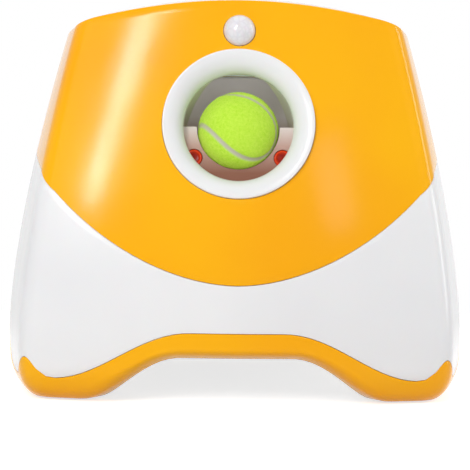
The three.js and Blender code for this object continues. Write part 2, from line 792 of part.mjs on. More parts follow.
const headThickness = 7;
const headPlace = seatPlace - ballRadius - gap;
const strikerStroke = 32;
const barLength = 57;
const barHalfWidth = 4;
const barRear = headPlace - headThickness - barLength;
const gearModule = 1.5;
const pressureAngle = THREE.MathUtils.degToRad(20);
const toothThinning = 0.16;
const rackPitchLine = 7.5;
const meshAhead = 9;
const meshPlace = barRear + meshAhead;   // the sector stands over this place at rest
const sectorCircle = 28;           // teeth that a full circle of the sector would have
const sectorTeeth = 9;
const spigotRadius = 3;
const springLength = 50;
const springRadius = 6.6;
const springTurns = 8;
const wireRadius = 0.9;
const knobRadius = 5.5;
const knobLength = 3;
const guideWall = 2.4;
const guideWallTop = 2;
const guideRearTop = 10;
const guideEnd = barRear - springLength - gap;

// The side view of what lies along the launch line: X forward, Y up
const sideFrame = new THREE.Matrix4().makeBasis(
  new THREE.Vector3(0, -Math.cos(launchAngle), Math.sin(launchAngle)),
  new THREE.Vector3(0, Math.sin(launchAngle), Math.cos(launchAngle)),
  new THREE.Vector3(-1, 0, 0),
).setPosition(launchStart);

function striker() {
  const pitch = Math.PI * gearModule;
  const root = rackPitchLine - 1.25 * gearModule;
  const tip = rackPitchLine + gearModule;
  const half = pitch / 4 - toothThinning / 2;
  const halfTip = half - gearModule * Math.tan(pressureAngle);
  const halfRoot = half + 1.25 * gearModule * Math.tan(pressureAngle);
  const low = -headRadius;
  const front = headPlace - headThickness / 2;
  const outline = [[barRear, low], [front, low], [front, root]];
  const teeth = Math.ceil(strikerStroke / pitch);
  for (let k = teeth; k >= -1; k -= 1) {
    const middle = meshPlace + (k + 0.5) * pitch;
    outline.push([middle + halfRoot, root], [middle + halfTip, tip]);
    outline.push([middle - halfTip, tip], [middle - halfRoot, root]);
  }
  outline.push([barRear, root]);
  const shape = new THREE.Shape(outline.map(([x, y]) => new THREE.Vector2(x, y)));
  const spigotEnd = guideEnd - guideWall - gap - knobLength;
  return join([
    slab(shape, -barHalfWidth, barHalfWidth, sideFrame),
    rod(headRadius, headPlace - headThickness, headPlace, 24, 0, 0, launchFrame),
    rod(spigotRadius, spigotEnd, barRear + headThickness, 12, 0, 0, launchFrame),
    rod(knobRadius, spigotEnd, spigotEnd + knobLength, 12, 0, 0, launchFrame),
  ]);
}

// A coil of wire round the spigot, one unbroken tube
function strikerSpring() {
  const stepsPerTurn = 9;
  const sides = 4;
  const count = springTurns * stepsPerTurn;
  const run = springLength - 2 * wireRadius - 2 * gap;
  const positions = [];
  const index = [];
  for (let i = 0; i <= count; i += 1) {
    const angle = 2 * Math.PI * i / stepsPerTurn;
    const height = guideEnd + gap + wireRadius + run * i / count;
    for (let k = 0; k < sides; k += 1) {
      const turn = 2 * Math.PI * k / sides;
      const radius = springRadius + wireRadius * Math.cos(turn);
      positions.push(radius * Math.cos(angle), radius * Math.sin(angle), height + wireRadius * Math.sin(turn));
    }
  }
  for (let i = 0; i < count; i += 1) {
    for (let k = 0; k < sides; k += 1) {
      const next = (k + 1) % sides;
      const base = i * sides;
      index.push(base + k, base + sides + k, base + sides + next, base + k, base + sides + next, base + next);
    }
  }
  for (let k = 1; k < sides - 1; k += 1) {
    const last = count * sides;
    index.push(0, k, k + 1, last, last + k + 1, last + k);
  }
  const geometry = new THREE.BufferGeometry();
  geometry.setAttribute('position', new THREE.Float32BufferAttribute(positions, 3));
  geometry.setIndex(index);
  return solid(geometry, launchFrame);
}

const plateInLeft = -8;            // inner faces of the gearbox plates, across the launcher
const plateInRight = 13;
const gearPlateThickness = 2.4;

function strikerGuide() {
  const high = -headRadius - gap;
  const low = high - guideFloorThickness;
  const front = bulkheadPlace - bulkheadThickness - gap;
  const headRear = headPlace - headThickness - strikerStroke - gap;
  const wide = headRadius + gap;
  const span = (left, right, down, up, rear, fore) => block(right - left, up - down, fore - rear,
    (left + right) / 2, (down + up) / 2, (rear + fore) / 2, launchFrame);
  const sides = [-1, 1].flatMap((side) => {
    const inner = [side * wide, side * (wide + guideWall)].sort((a, b) => a - b);
    const narrow = [side * (barHalfWidth + gap), side * (barHalfWidth + gap + guideWall)].sort((a, b) => a - b);
    return [
      span(...inner, low, guideWallTop, headRear, front),
      span(...narrow, low, guideWallTop, barRear + guideWall, headRear - gap),
    ];
  });
  const body = join([
    span(-wide - guideWall, wide + guideWall, low, high, headRear, front),
    span(plateInLeft + gap, plateInRight - gap, low, high, guideEnd - guideWall, headRear + guideWall),
    span(plateInLeft + gap, plateInRight - gap, low, guideRearTop, guideEnd - guideWall, guideEnd),
    ...sides,
  ]);
  return body.subtract(rod(spigotRadius + gap, guideEnd - 2 * guideWall, guideEnd + guideWall, 12, 0, 0,
    launchFrame));
}

// Gears, on axles that run across the launcher

const mainTeeth = 30;
const smallTeeth = 14;
const bigTeeth = 28;
const fineModule = 1.25;
const axleRadius = 2;
const axleFit = 0.1;
const sectorBlank = 17;            // radius of the sector between its end teeth
const gearWidth = 3.6;
const gearStandOff = 0.4;          // from the rack to the gears beside it
const gearSpace = 0.6;             // between two gears on one axle
const gearSide = barHalfWidth + gearStandOff;
const bigSide = gearSide + gearWidth + gearSpace;
const hubRadius = 5;
const reductionAngle = THREE.MathUtils.degToRad(20);
const pinionAngle = THREE.MathUtils.degToRad(-55);

const mainRadius = mainTeeth * gearModule / 2;
const sectorRadius = sectorCircle * gearModule / 2;
const sectorMiddle = onLaunch(rackPitchLine + sectorRadius, meshPlace);

function stepOff(from, angle, distance) {
  return new THREE.Vector3(0, from.y + distance * Math.cos(angle), from.z + distance * Math.sin(angle));
}

const reductionMiddle = stepOff(sectorMiddle, reductionAngle, (mainTeeth + smallTeeth) * gearModule / 2);
const pinionMiddle = stepOff(reductionMiddle, pinionAngle, (bigTeeth + smallTeeth) * fineModule / 2);

function acrossAt(middle) {
  return alongX.clone().setPosition(middle);
}

// Outline of a spur gear whose first tooth points along the given angle
function gearShape(teeth, module, angle, count = teeth, blank = 0) {
  const pitchRadius = teeth * module / 2;
  const base = pitchRadius * Math.cos(pressureAngle);
  const root = pitchRadius - 1.25 * module;
  const tip = pitchRadius + module;
  const involute = (radius) => {
    const pressure = Math.acos(Math.min(1, base / radius));
    return Math.tan(pressure) - pressure;
  };
  const halfAt = (radius) => Math.PI / (2 * teeth) + involute(pitchRadius) - involute(Math.max(radius, base))
    - toothThinning / (2 * pitchRadius);
  const radii = root < base - toothThinning ? [root, base, pitchRadius, tip] : [root, tip];
  const points = [];
  for (let k = 0; k < count; k += 1) {
    const middle = angle + 2 * Math.PI * k / teeth;
    const flank = radii.map((radius) => [radius, halfAt(radius)]);
    flank.forEach(([radius, half]) => points.push([radius, middle - half]));
    [...flank].reverse().forEach(([radius, half]) => points.push([radius, middle + half]));
  }
  if (blank > 0) {
    const start = angle + 2 * Math.PI * (count - 0.5) / teeth;
    const end = angle + 2 * Math.PI - Math.PI / teeth;
    const steps = 12;
    for (let k = 0; k <= steps; k += 1) {
      points.push([blank, between(start, end, k / steps)]);
    }
  }
  return new THREE.Shape(points.map(([radius, at]) => (
    new THREE.Vector2(radius * Math.cos(at), radius * Math.sin(at)))));
}

function sectorGear() {
  const frame = acrossAt(sectorMiddle);
  const down = -Math.PI / 2 - launchAngle;
  const ahead = 2 * Math.PI / sectorCircle * (sectorTeeth - 1);
  return join([
    slab(gearShape(sectorCircle, gearModule, down - ahead, sectorTeeth, sectorBlank),
      -barHalfWidth, gearSide + gap, frame),
    slab(gearShape(mainTeeth, gearModule, reductionAngle), gearSide, gearSide + gearWidth, frame),
    rod(hubRadius, plateInLeft + gap, plateInRight - gap, 16, 0, 0, frame),
  ]).subtract(rod(axleRadius + axleFit, 2 * plateInLeft, 2 * plateInRight, 12, 0, 0, frame));
}

function reductionGear() {
  const frame = acrossAt(reductionMiddle);
  return join([
    slab(gearShape(smallTeeth, gearModule, reductionAngle + Math.PI + Math.PI / smallTeeth),
      gearSide, bigSide + gap, frame),
    slab(gearShape(bigTeeth, fineModule, pinionAngle), bigSide, bigSide + gearWidth, frame),
    rod(hubRadius, plateInLeft + gap, plateInRight - gap, 16, 0, 0, frame),
  ]).subtract(rod(axleRadius + axleFit, 2 * plateInLeft, 2 * plateInRight, 12, 0, 0, frame));
}

const shaftRadius = 1.2;
const motorRadius = 14;
const motorLength = 34;
const motorBoss = 5.5;
const motorFront = plateInRight + gearPlateThickness + gap;
const shaftDepth = 6;

function motorPinion() {
  const frame = acrossAt(pinionMiddle);
  return slab(gearShape(smallTeeth, fineModule, pinionAngle + Math.PI + Math.PI / smallTeeth),
    bigSide, bigSide + gearWidth, frame)
    .add(rod(shaftRadius, bigSide - shaftRadius, motorFront + shaftDepth - gap, 10, 0, 0, frame));
}

function motor() {
  const frame = acrossAt(pinionMiddle);
  const bossFront = plateInRight + gap;
  const can = rod(motorRadius, motorFront, motorFront + motorLength, 28, 0, 0, frame)
    .add(rod(motorBoss, bossFront, motorFront + shaftDepth, 16, 0, 0, frame))
    .add(rod(motorBoss, motorFront + motorLength - shaftDepth, motorFront + motorLength + 3 * gap, 16, 0, 0,
      frame));
  return can.subtract(rod(shaftRadius + axleFit, bossFront - cutOverrun, motorFront + shaftDepth, 10, 0, 0,
    frame));
}

// A side plate of the gearbox, standing beside the guide's floor
const plateArm = 9;
const motorSeat = 16;

function gearPlate(side) {
  const low = side < 0 ? plateInLeft - gearPlateThickness : plateInRight;
  const high = low + gearPlateThickness;
  const foot = onLaunch(-headRadius, meshPlace);
  const flat = (point) => [point.y, point.z];
  const arms = [
    slab(barShape(flat(foot), flat(sectorMiddle), plateArm), low, high, alongX),
    slab(barShape(flat(sectorMiddle), flat(reductionMiddle), plateArm), low, high, alongX),
  ];
  const holes = [sectorMiddle, reductionMiddle].map((middle) => (
    rod(axleRadius + axleFit, low - cutOverrun, high + cutOverrun, 12, 0, 0, acrossAt(middle))));
  if (side > 0) {
    arms.push(slab(barShape(flat(reductionMiddle), flat(pinionMiddle), plateArm), low, high, alongX));
    arms.push(rod(motorSeat, low, high, 24, 0, 0, acrossAt(pinionMiddle)));
    holes.push(rod(motorBoss + gap, low - cutOverrun, high + cutOverrun, 16, 0, 0, acrossAt(pinionMiddle)));
  }
  return cut(join(arms), holes);
}

function axle(middle) {
  return rod(axleRadius, plateInLeft - gearPlateThickness, plateInRight + gearPlateThickness, 12, 0, 0,
    acrossAt(middle));
}

place('striker', striker(), 'red');
place('striker_spring', strikerSpring(), 'steel');
place('striker_guide', strikerGuide(), 'nylon');
place('sector_gear', sectorGear(), 'nylon');
place('sector_axle', axle(sectorMiddle), 'steel');
place('reduction_gear', reductionGear(), 'nylon');
place('reduction_axle', axle(reductionMiddle), 'steel');
place('motor_pinion', motorPinion(), 'brass');
place('motor', motor(), 'steel');
place('gear_plate_left', gearPlate(-1), 'grey');
place('gear_plate_right', gearPlate(1), 'grey');

// Sensors

const lensSkin = 1.4;
const domeHeight = 7.4;
const canRadius = 4.6;
const canHeight = 4;
const sensorBoardLength = 34;
const sensorBoardHeight = 13;
const boardThickness = 1.2;

function domeProfile(radius, height, steps) {
  const points = [];
  for (let i = 0; i <= steps; i += 1) {
    const angle = i / steps * Math.PI / 2;
    points.push([radius * Math.sin(angle), height * Math.cos(angle)]);
  }
  return points;
}

function sensorDome() {
  const behind = -wall - facetSag - gap;
  const inner = domeProfile(domeRadius - lensSkin, domeHeight - lensSkin, 3).reverse();
  return revolved([
    ...domeProfile(domeRadius, domeHeight, 4),
    [domeRadius, behind],
    [domeRadius + domeFlange, behind],
    [domeRadius + domeFlange, behind - lensSkin],
    [domeRadius - lensSkin, behind - lensSkin],
    ...inner,
  ], 24, domeFrame);
}

function motionSensor() {
  const front = -sensorBoardDepth - gap;
  return block(sensorBoardLength, sensorBoardHeight, boardThickness, 0, 0, front - boardThickness / 2, domeFrame)
    .add(rod(canRadius, front - boardThickness / 2, front + canHeight, 14, 0, 0, domeFrame));
}

// A window fills its hole from behind, and its flange stands clear of the trough
function beamWindow(side) {
  const rear = pocketFlange + windowFlangeThickness;
  const trough = rod(troughRadius + pocketWall + gap, bulkheadPlace, ringDepth, 28, 0, 0, launchFrame);
  const plug = rod(windowRadius, gap, pocketFlange + gap, 16, 0, 0, windowFrame(side));
  const flange = rod(windowRadius + windowFlange, pocketFlange, rear, 16, 0, 0, windowFrame(side));
  return plug.add(flange.subtract(trough));
}

const beamLampRadius = 2.5;
const beamLampLength = 6;
const beamBoard = 10;
const beamBoardShift = 4;          // the board stands away from the trough

function beamModule(side) {
  const front = pocketFlange + windowFlangeThickness + gap;
  const rear = front + beamLampLength;
  return rod(beamLampRadius, front, rear, 10, 0, 0, windowFrame(side))
    .add(block(beamBoard, beamBoard, boardThickness, -side * beamBoardShift, -beamBoardShift, rear,
      windowFrame(side)));
}

place('sensor_dome', sensorDome(), 'pearl');
place('motion_sensor', motionSensor(), 'board');
place('beam_window_left', beamWindow(-1), 'red');
place('beam_window_right', beamWindow(1), 'red');
place('beam_emitter', beamModule(-1), 'board');
place('beam_receiver', beamModule(1), 'board');

// Rear controls

const powerAcross = 22;
const powerRadius = 9.5;
const distanceAcross = -6;
const distanceRadius = 7.5;
const lensAcross = -27;
const lensRadius = 2;
const buttonProud = 2.2;
const buttonTravel = 1.2;
const buttonFlange = 1.5;
const controlFlange = 2.5;
const controlFlangeThickness = 1.8;
const controlRear = -controlDepth - controlFlangeThickness;
const controlBoardDepth = 15;
const boardPostRadius = 2;
const boardPostReach = 37;
const switchRadius = 3;

function controlPanel() {
  const holes = [
    [powerAcross, powerRadius],
    [distanceAcross, distanceRadius],
    [lensAcross, lensRadius],
  ].map(([x, radius]) => rod(radius + gap, -controlBoardDepth, cutOverrun, 18, x, 0, controlFrame));
  const posts = [-1, 1].map((x) => (
    rod(boardPostRadius, -controlBoardDepth, controlRear + gap, 8, x * boardPostReach, 0, controlFrame)));
  return cut(join([
    slab(ovalShape(controlLength, controlHeight), controlRear, controlProud, controlFrame, 10),
    slab(ovalShape(controlLength + 2 * controlFlange, controlHeight + 2 * controlFlange),
      controlRear, -controlDepth, controlFrame, 10),
    ...posts,
  ]), holes);
}

const buttonDish = 0.8;            // how far a button's face sinks towards its middle
const buttonEdge = 1;

// A button from the side: dished face, rounded edge and a flange that holds it behind the panel
function button(x, radius) {
  const behind = controlRear - gap;
  const front = controlProud + buttonProud;
  return revolved([
    [0, front - buttonDish],
    [radius - 3 * buttonEdge, front - buttonDish / 2],
    [radius - buttonEdge, front],
    [radius, front - buttonEdge],
    [radius, behind],
    [radius + buttonFlange, behind],
    [radius + buttonFlange, behind - lensSkin],
    [0, behind - lensSkin],
  ], 18, controlFrame.clone().multiply(new THREE.Matrix4().setPosition(x, 0, 0)));
}

function indicatorLens() {
  const behind = controlRear - gap;
  return revolved([
    [0, controlProud + 2 * gap],
    [lensRadius - gap, controlProud + gap],
    [lensRadius, controlProud],
    [lensRadius, behind],
    [lensRadius + lensSkin, behind],
    [lensRadius + lensSkin, behind - lensSkin],
    [0, behind - lensSkin],
  ], 12, controlFrame.clone().multiply(new THREE.Matrix4().setPosition(lensAcross, 0, 0)));
}

function controlBoard() {
  const front = -controlBoardDepth - gap;
  const switchTop = controlRear - gap - lensSkin - buttonTravel - gap;
  return join([
    block(controlLength, controlHeight, boardThickness, 0, 0, front - boardThickness / 2, controlFrame),
    ...[powerAcross, distanceAcross].map((x) => (
      rod(switchRadius, front - boardThickness / 2, switchTop, 10, x, 0, controlFrame))),
  ]);
}

const buzzerRadius = 7;
const buzzerHeight = 6;
const buzzerAcross = -22;

function buzzer() {
  const front = -controlBoardDepth - 2 * gap - boardThickness;
  return rod(buzzerRadius, front - buzzerHeight, front, 16, buzzerAcross, 0, controlFrame)
    .subtract(rod(lensRadius, front - buzzerHeight - gap, front - buzzerHeight / 2, 8, buzzerAcross, 0,
      controlFrame));
}

const jackBore = 3.2;
const jackPin = 1;
const jackDepth = 9;
const jackLength = 14;
const jackFlange = 2.5;

function dcSocket() {
  return revolved([
    [0, -jackBore],
    [jackPin, -jackBore],
    [jackPin, -jackDepth],
    [jackBore, -jackDepth],
    [jackBore, gap],
    [socketRadius, gap],
    [socketRadius, -wall - 2 * facetSag],
    [socketRadius + jackFlange, -wall - 2 * facetSag],
    [socketRadius + jackFlange, -wall - jackFlange],
    [socketRadius, -wall - jackFlange],
    [socketRadius, -jackLength],
    [0, -jackLength],
  ], 16, socketFrame);
}

place('control_panel', controlPanel(), 'white');
place('power_button', button(powerAcross, powerRadius), 'orange');
place('distance_button', button(distanceAcross, distanceRadius), 'grey');
place('indicator_lens', indicatorLens(), 'red');
place('control_board', controlBoard(), 'board');
place('buzzer', buzzer(), 'black');
place('dc_socket', dcSocket(), 'black');

corners.forEach(([x, y], i) => {
  const name = `pocket_screw_${y < 0 ? 'lower' : 'upper'}_${x < 0 ? 'left' : 'right'}`;
  const flange = -ringDepth - pocketFlange - gap;
  const head = flange - screwHeadHeight;
  place(name, screw(x * bossReach, y * bossReach, head, screwBite - ringDepth - gap, mouthFrame), 'steel');
});

const ballMiddle = onLaunch(0, ballRest);
place('ball', solid(new THREE.SphereGeometry(ballRadius, 20, 13).translate(...ballMiddle.toArray())), 'felt');

export default launcher;
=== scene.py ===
"""Looks of an automatic ball launcher for dogs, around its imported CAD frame. Metres, +Z up."""
import json
import math

import bmesh
import bpy
import numpy as np
from mathutils import Matrix, Quaternion, Vector, noise


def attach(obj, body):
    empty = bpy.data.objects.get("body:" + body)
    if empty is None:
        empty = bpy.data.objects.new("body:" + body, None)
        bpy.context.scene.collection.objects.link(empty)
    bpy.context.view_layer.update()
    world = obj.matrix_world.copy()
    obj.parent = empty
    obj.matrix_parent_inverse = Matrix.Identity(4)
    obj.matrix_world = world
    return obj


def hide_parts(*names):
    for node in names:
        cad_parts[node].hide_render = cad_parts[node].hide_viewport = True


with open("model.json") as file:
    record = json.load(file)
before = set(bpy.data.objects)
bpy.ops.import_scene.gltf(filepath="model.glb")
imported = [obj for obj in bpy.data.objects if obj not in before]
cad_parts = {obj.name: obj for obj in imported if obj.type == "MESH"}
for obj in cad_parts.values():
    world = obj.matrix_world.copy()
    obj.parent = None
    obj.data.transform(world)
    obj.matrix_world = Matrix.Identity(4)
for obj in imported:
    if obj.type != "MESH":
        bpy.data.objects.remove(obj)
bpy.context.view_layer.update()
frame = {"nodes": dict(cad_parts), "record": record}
nodes = frame["nodes"]
scene = bpy.context.scene
MM = 0.001

# Driving dimensions, in millimetres as in the CAD source
RIDGE_HALF_WIDTH, RIDGE_HALF_DEPTH = 127.3, 125.8
WIDEST_LEVEL, TAPER_HEIGHT, WALL_TAPER, LEAN_POWER = 35.0, 183.0, 29.1, 1.53
FOOT_TUCK, FOOT_ROUND_LEVEL, FACE_RADIUS, CORNER_INSET = 14.0, 22.0, 489.0, 9.0
WALL, GAP, FACET_SAG = 2.6, 0.3, 0.6
TOP_MIDDLE, TOP_RISE, TOP_SIDE, TOP_SIDE_RISE = 238.8, 11.0, 218.0, 4.0
SWOOP_LOW, SWOOP_RISE, SWOOP_POWER = 71.2, 53.3, 1.86
SIDE_EDGE, SIDE_RISE = 137.0, 9.0
BAND_MIDDLE, BAND_FOOT, BAND_START, BAND_END = 43.0, 14.5, 0.24, 0.93
BAND_RIDGE_RISE, BAND_CORNER_RISE = 4.9, 7.0
ARCH_LEVEL, ARCH_START, ARCH_END, FOOT_LIFT = 27.4, 0.3, 0.86, 1.0
MOUTH_LEVEL, MOUTH_OFFSET, LAUNCH_ANGLE = 165.8, 6.0, math.radians(30)
POCKET_SHADE_LOW, POCKET_SHADE_HIGH = 136.0, 168.0       # levels between which the pocket's painted shade fades out upwards
BALL_RADIUS, BALL_REST = 24.5, -24.0
TONGUE, TONGUE_HEIGHT = 2.0, 5.0
LEDGE_DROP, LEDGE_WIDTH, LEDGE_HEIGHT = 1.4, 3.0, 2.5
LIP_INSET, FLANGE_DEPTH, FLANGE_HEIGHT = 7.0, 10.0, 4.3
RING_RADIUS, RING_DEPTH, RING_CREST, RING_FLARE = 45.2, 16.0, 1.0, 12.0
BORE_RADIUS, RING_REAR, RING_SKIN = 32.7, 33.5, 2.4
DOME_LEVEL, DOME_RADIUS, DOME_FLANGE, DOME_HEIGHT, LENS_SKIN = 220.6, 9.4, 1.2, 7.4, 1.4
CONTROL_LEVEL, CONTROL_LENGTH, CONTROL_HEIGHT = 150.0, 84.0, 30.0
CONTROL_PROUD, CONTROL_DEPTH, CONTROL_FLANGE = 0.5, 5.6, 1.8
SOCKET_LEVEL, SOCKET_ACROSS, SOCKET_RADIUS = 56.5, 42.0, 6.0
RIM_PROUD, RIM_THICKNESS, RIM_WIDTH, HOPPER_WALL = 1.2, 2.3, 15.0, 2.2
BOWL_INSET, BOWL_LEVEL, THROAT_RADIUS, THROAT_MIDDLE = 17.0, 211.5, 29.0, -58.3
THROAT_TOP, THROAT_SEAT = 201.5, 193.3
POCKET_RADIUS, POCKET_MIDDLE, POCKET_WALL = 34.0, -62.0, 2.2
WINDOW_RADIUS, WINDOW_REACH, WINDOW_DROP, WINDOW_FLANGE = 5.0, 26.4, 17.4, 1.7
POCKET_FLANGE, WINDOW_FLANGE_THICKNESS, BOSS_REACH = 2.5, 1.4, 36.8
PLATE_LEVEL, PLATE_TOP, LEG_X, LEG_Y = 32.0, 34.4, 89.0, 87.0
POWER_ACROSS, POWER_RADIUS, DISTANCE_ACROSS, DISTANCE_RADIUS = 22.0, 9.5, -6.0, 7.5
LENS_ACROSS, LENS_RADIUS, BUTTON_PROUD = -27.0, 2.0, 2.2
FACE_STEPS, CORNER_STEPS = 44, 9              # spans along a face and round a ridge
UPPER_ROWS, UPPER_LINING, BODY_ROWS, BODY_LINING, BAND_ROWS = 26, 12, 22, 8, 8
EDGE_ROUND, ROUND_MIDDLE = 0.25, 0.29         # an edge's rounding, and how far in its middle lies
CREST_ROUND, CREST_MIDDLE = 0.5, 0.15         # the same for the mouth's lip and the panel's holes
LIP_TURN, LIP_CORNER, LIP_LIFT = 0.42, 1.2, 0.6
BULKHEAD, STRIKER_HOLE, BOSS_RADIUS, SCREW_HOLE, CHUTE_SHARE = 3.0, 13.0, 4.45, 1.6, 0.4
OVERCUT, OVERLAP = 3.0, 0.01                  # how far a tool goes past, and how deep two solids meet
TROUGH_REAR, FAR = -120.0, 640.0              # beyond all that a tool has to cut
WINDOW_SHADE_INNER, WINDOW_SHADE_OUTER = 2.6, 4.2           # radii between which a window's painted shade gives way to its paler rim
PANEL_FLANGE, PANEL_POST, PANEL_POST_REAR, PANEL_POST_ACROSS = 5.0, 2.0, -15.0, 37.0
LEG_BORE, LEG_FLOOR, HEAD_HOLE, HEAD_SEAT, SHANK_HOLE = 11.8, 8.2, 3.3, 5.9, 12.0
PILLAR_RADIUS, PILLAR_ACROSS, PILLAR_MIDDLE, GUIDE_DROP, GUIDE_CUT = 3.0, 4.5, 44.0, 12.6, 166.0
DOOR_LENGTH, DOOR_WIDTH, DOOR_MIDDLE, DOOR_CORNER = 110.4, 88.2, -26.0, 4.0
SCOOP_RADIUS, SCOOP_DEPTH, SCOOP_INSET = 9.0, 1.44, 18.0
CORNERS = [(-1, -1), (1, -1), (1, 1), (-1, 1)]

SHARP_ANGLE, CALM_ANGLE = 32, 40              # degrees; an edge that turns more stays sharp
MERGE_DISTANCE, SHADING_REACH = 1e-7, 0.0002  # metres


# -------------------- plan and levels of the housing
def ridge_half(half, level):
    if level >= WIDEST_LEVEL:
        return half - WALL_TAPER * ((level - WIDEST_LEVEL) / TAPER_HEIGHT) ** LEAN_POWER
    down = min(1.0, max(0.0, (FOOT_ROUND_LEVEL - level) / FOOT_ROUND_LEVEL))
    return half - FOOT_TUCK * (1 - math.sqrt(1 - down * down))


def turned(face, across, out):
    angle = face * math.pi / 2
    return np.array([
        math.cos(angle) * across + math.sin(angle) * out,
        math.sin(angle) * across - math.cos(angle) * out,
    ])


def face_point(face, along, half_x, half_y):
    half, reach = (half_x, half_y) if face % 2 == 0 else (half_y, half_x)
    across = along * (half - CORNER_INSET)
    rise = math.sqrt(FACE_RADIUS ** 2 - across ** 2)
    out = reach + rise - math.sqrt(FACE_RADIUS ** 2 - half ** 2)
    return turned(face, across, out), turned(face, 1, -across / rise)


def corner_point(face, share, half_x, half_y):
    start, start_way = face_point(face, 1, half_x, half_y)
    end, end_way = face_point((face + 1) % 4, -1, half_x, half_y)
    chord = end - start
    cross = lambda a, b: a[0] * b[1] - a[1] * b[0]
    peak = start + start_way * cross(chord, end_way) / cross(start_way, end_way)
    return start * (1 - share) ** 2 + peak * 2 * share * (1 - share) + end * share ** 2


STATIONS = []
for _face in range(4):
    for _i in range(FACE_STEPS + 1):
        STATIONS.append((_face, -1 + 2 * _i / FACE_STEPS, 0.0))
    for _i in range(1, CORNER_STEPS):
        STATIONS.append((_face, 1.0, _i / CORNER_STEPS))


def surface_point(station, level, inset):
    face, along, turn = station
    half_x = ridge_half(RIDGE_HALF_WIDTH, level) - inset
    half_y = ridge_half(RIDGE_HALF_DEPTH, level) - inset
    if turn == 0:
        plan = face_point(face, along, half_x, half_y)[0]
    else:
        plan = corner_point(face, turn, half_x, half_y)
    return (plan[0] * MM, plan[1] * MM, level * MM)


def edge_height(station, on_face, corner_rise):
    face, along, turn = station
    if turn == 0:
        return on_face(face, along)
    start, end = on_face(face, 1), on_face((face + 1) % 4, -1)
    return start + (end - start) * turn + corner_rise * math.sin(math.pi * turn)


def ramp(value, start, end):
    share = min(1.0, max(0.0, (value - start) / (end - start)))
    return 0.5 - 0.5 * math.cos(math.pi * share)


def top_edge(station):
    def on_face(face, along):
        if face % 2 == 0:
            return TOP_MIDDLE - TOP_RISE * along ** 2
        return TOP_SIDE + TOP_SIDE_RISE * along ** 2
    return edge_height(station, on_face, 0)


def swoop_edge(station):
    def on_face(face, along):
        if face % 2 == 0:
            return SWOOP_LOW + SWOOP_RISE * abs(along) ** SWOOP_POWER
        return SIDE_EDGE + SIDE_RISE * (1 - along ** 2)
    return edge_height(station, on_face, 0)


def band_edge(station):
    def on_face(face, along):
        drop = ramp(abs(along), BAND_START, BAND_END)
        lift = ramp(abs(along), BAND_END, 2 - BAND_END)
        return BAND_MIDDLE + (BAND_FOOT - BAND_MIDDLE) * drop + 2 * BAND_RIDGE_RISE * lift
    return edge_height(station, on_face, BAND_CORNER_RISE)


def foot_share(station):
    return edge_height(station, lambda face, along: ramp(abs(along), ARCH_START, ARCH_END), 0)


def arch_edge(station):
    return ARCH_LEVEL + (FOOT_LIFT - ARCH_LEVEL) * foot_share(station)


def lean_at(level):
    share = (level - WIDEST_LEVEL) / TAPER_HEIGHT
    slope = WALL_TAPER * LEAN_POWER / TAPER_HEIGHT * share ** (LEAN_POWER - 1)
    half = ridge_half(RIDGE_HALF_WIDTH, level)
    return math.atan(slope * (1 + half / math.sqrt(FACE_RADIUS ** 2 - half ** 2)))


def middle_out(level):
    half = ridge_half(RIDGE_HALF_WIDTH, level)
    return ridge_half(RIDGE_HALF_DEPTH, level) + FACE_RADIUS - math.sqrt(FACE_RADIUS ** 2 - half ** 2)


def frame_at(origin, angle, facing=1):
    """X across, Y up the face, Z out of it; origin in millimetres, axes in metres."""
    across = Vector((facing, 0, 0))
    up = Vector((0, facing * math.sin(angle), math.cos(angle)))
    out = Vector((0, -facing * math.cos(angle), math.sin(angle)))
    matrix = Matrix((across, up, out)).transposed().to_4x4()
    matrix.translation = Vector(origin) * MM
    return matrix


def shift(x, y, z=0):
    return Matrix.Translation(Vector((x, y, z)) * MM)


MOUTH = frame_at((0, -middle_out(MOUTH_LEVEL), MOUTH_LEVEL), lean_at(MOUTH_LEVEL))
LAUNCH = frame_at((MOUTH @ Vector((0, MOUTH_OFFSET * MM, 0))) / MM, LAUNCH_ANGLE)
DOME = frame_at((0, -middle_out(DOME_LEVEL), DOME_LEVEL), lean_at(DOME_LEVEL))
CONTROL = frame_at((0, middle_out(CONTROL_LEVEL), CONTROL_LEVEL), lean_at(CONTROL_LEVEL), -1)
_socket_face = middle_out(SOCKET_LEVEL) - FACE_RADIUS + math.sqrt(FACE_RADIUS ** 2 - SOCKET_ACROSS ** 2)
SOCKET = (shift(-SOCKET_ACROSS, _socket_face, SOCKET_LEVEL)
          @ Matrix.Rotation(math.asin(SOCKET_ACROSS / FACE_RADIUS), 4, "Z")
          @ frame_at((0, 0, 0), lean_at(SOCKET_LEVEL), -1))
SEAT = (LAUNCH.translation.y / MM - POCKET_MIDDLE) / math.cos(LAUNCH_ANGLE)


# -------------------- mesh helpers
def linked(name, data):
    obj = bpy.data.objects.new(name, data)
    scene.collection.objects.link(obj)
    return obj


def from_bmesh(name, bm):
    mesh = bpy.data.meshes.new(name)
    bm.to_mesh(mesh)
    bm.free()
    return linked(name, mesh)


def smooth(obj, angle=SHARP_ANGLE):
    obj.data.shade_smooth()
    obj.data.set_sharp_from_angle(angle=math.radians(angle))
    return obj


def mesh_object(name, points, faces, angle=SHARP_ANGLE):
    mesh = bpy.data.meshes.new(name)
    mesh.from_pydata([tuple(p) for p in points], [], faces)
    bm = bmesh.new()
    bm.from_mesh(mesh)
    bpy.data.meshes.remove(mesh)
    bmesh.ops.remove_doubles(bm, verts=bm.verts, dist=MERGE_DISTANCE)
    bmesh.ops.recalc_face_normals(bm, faces=bm.faces)
    return smooth(from_bmesh(name, bm), angle)


def ring_of(name, loops, angle=SHARP_ANGLE):
    rows = len(loops[0])
    points = [p for loop in loops for p in loop]
    faces = []
    for i in range(len(loops)):
        j = (i + 1) % len(loops)
        for k in range(rows):
            up = (k + 1) % rows
            faces.append((i * rows + k, j * rows + k, j * rows + up, i * rows + up))
    return mesh_object(name, points, faces, angle)


def shell_ring(name, profile_at):
    return ring_of(name, [[surface_point(s, level, inset) for level, inset in profile_at(s)]
                          for s in STATIONS])


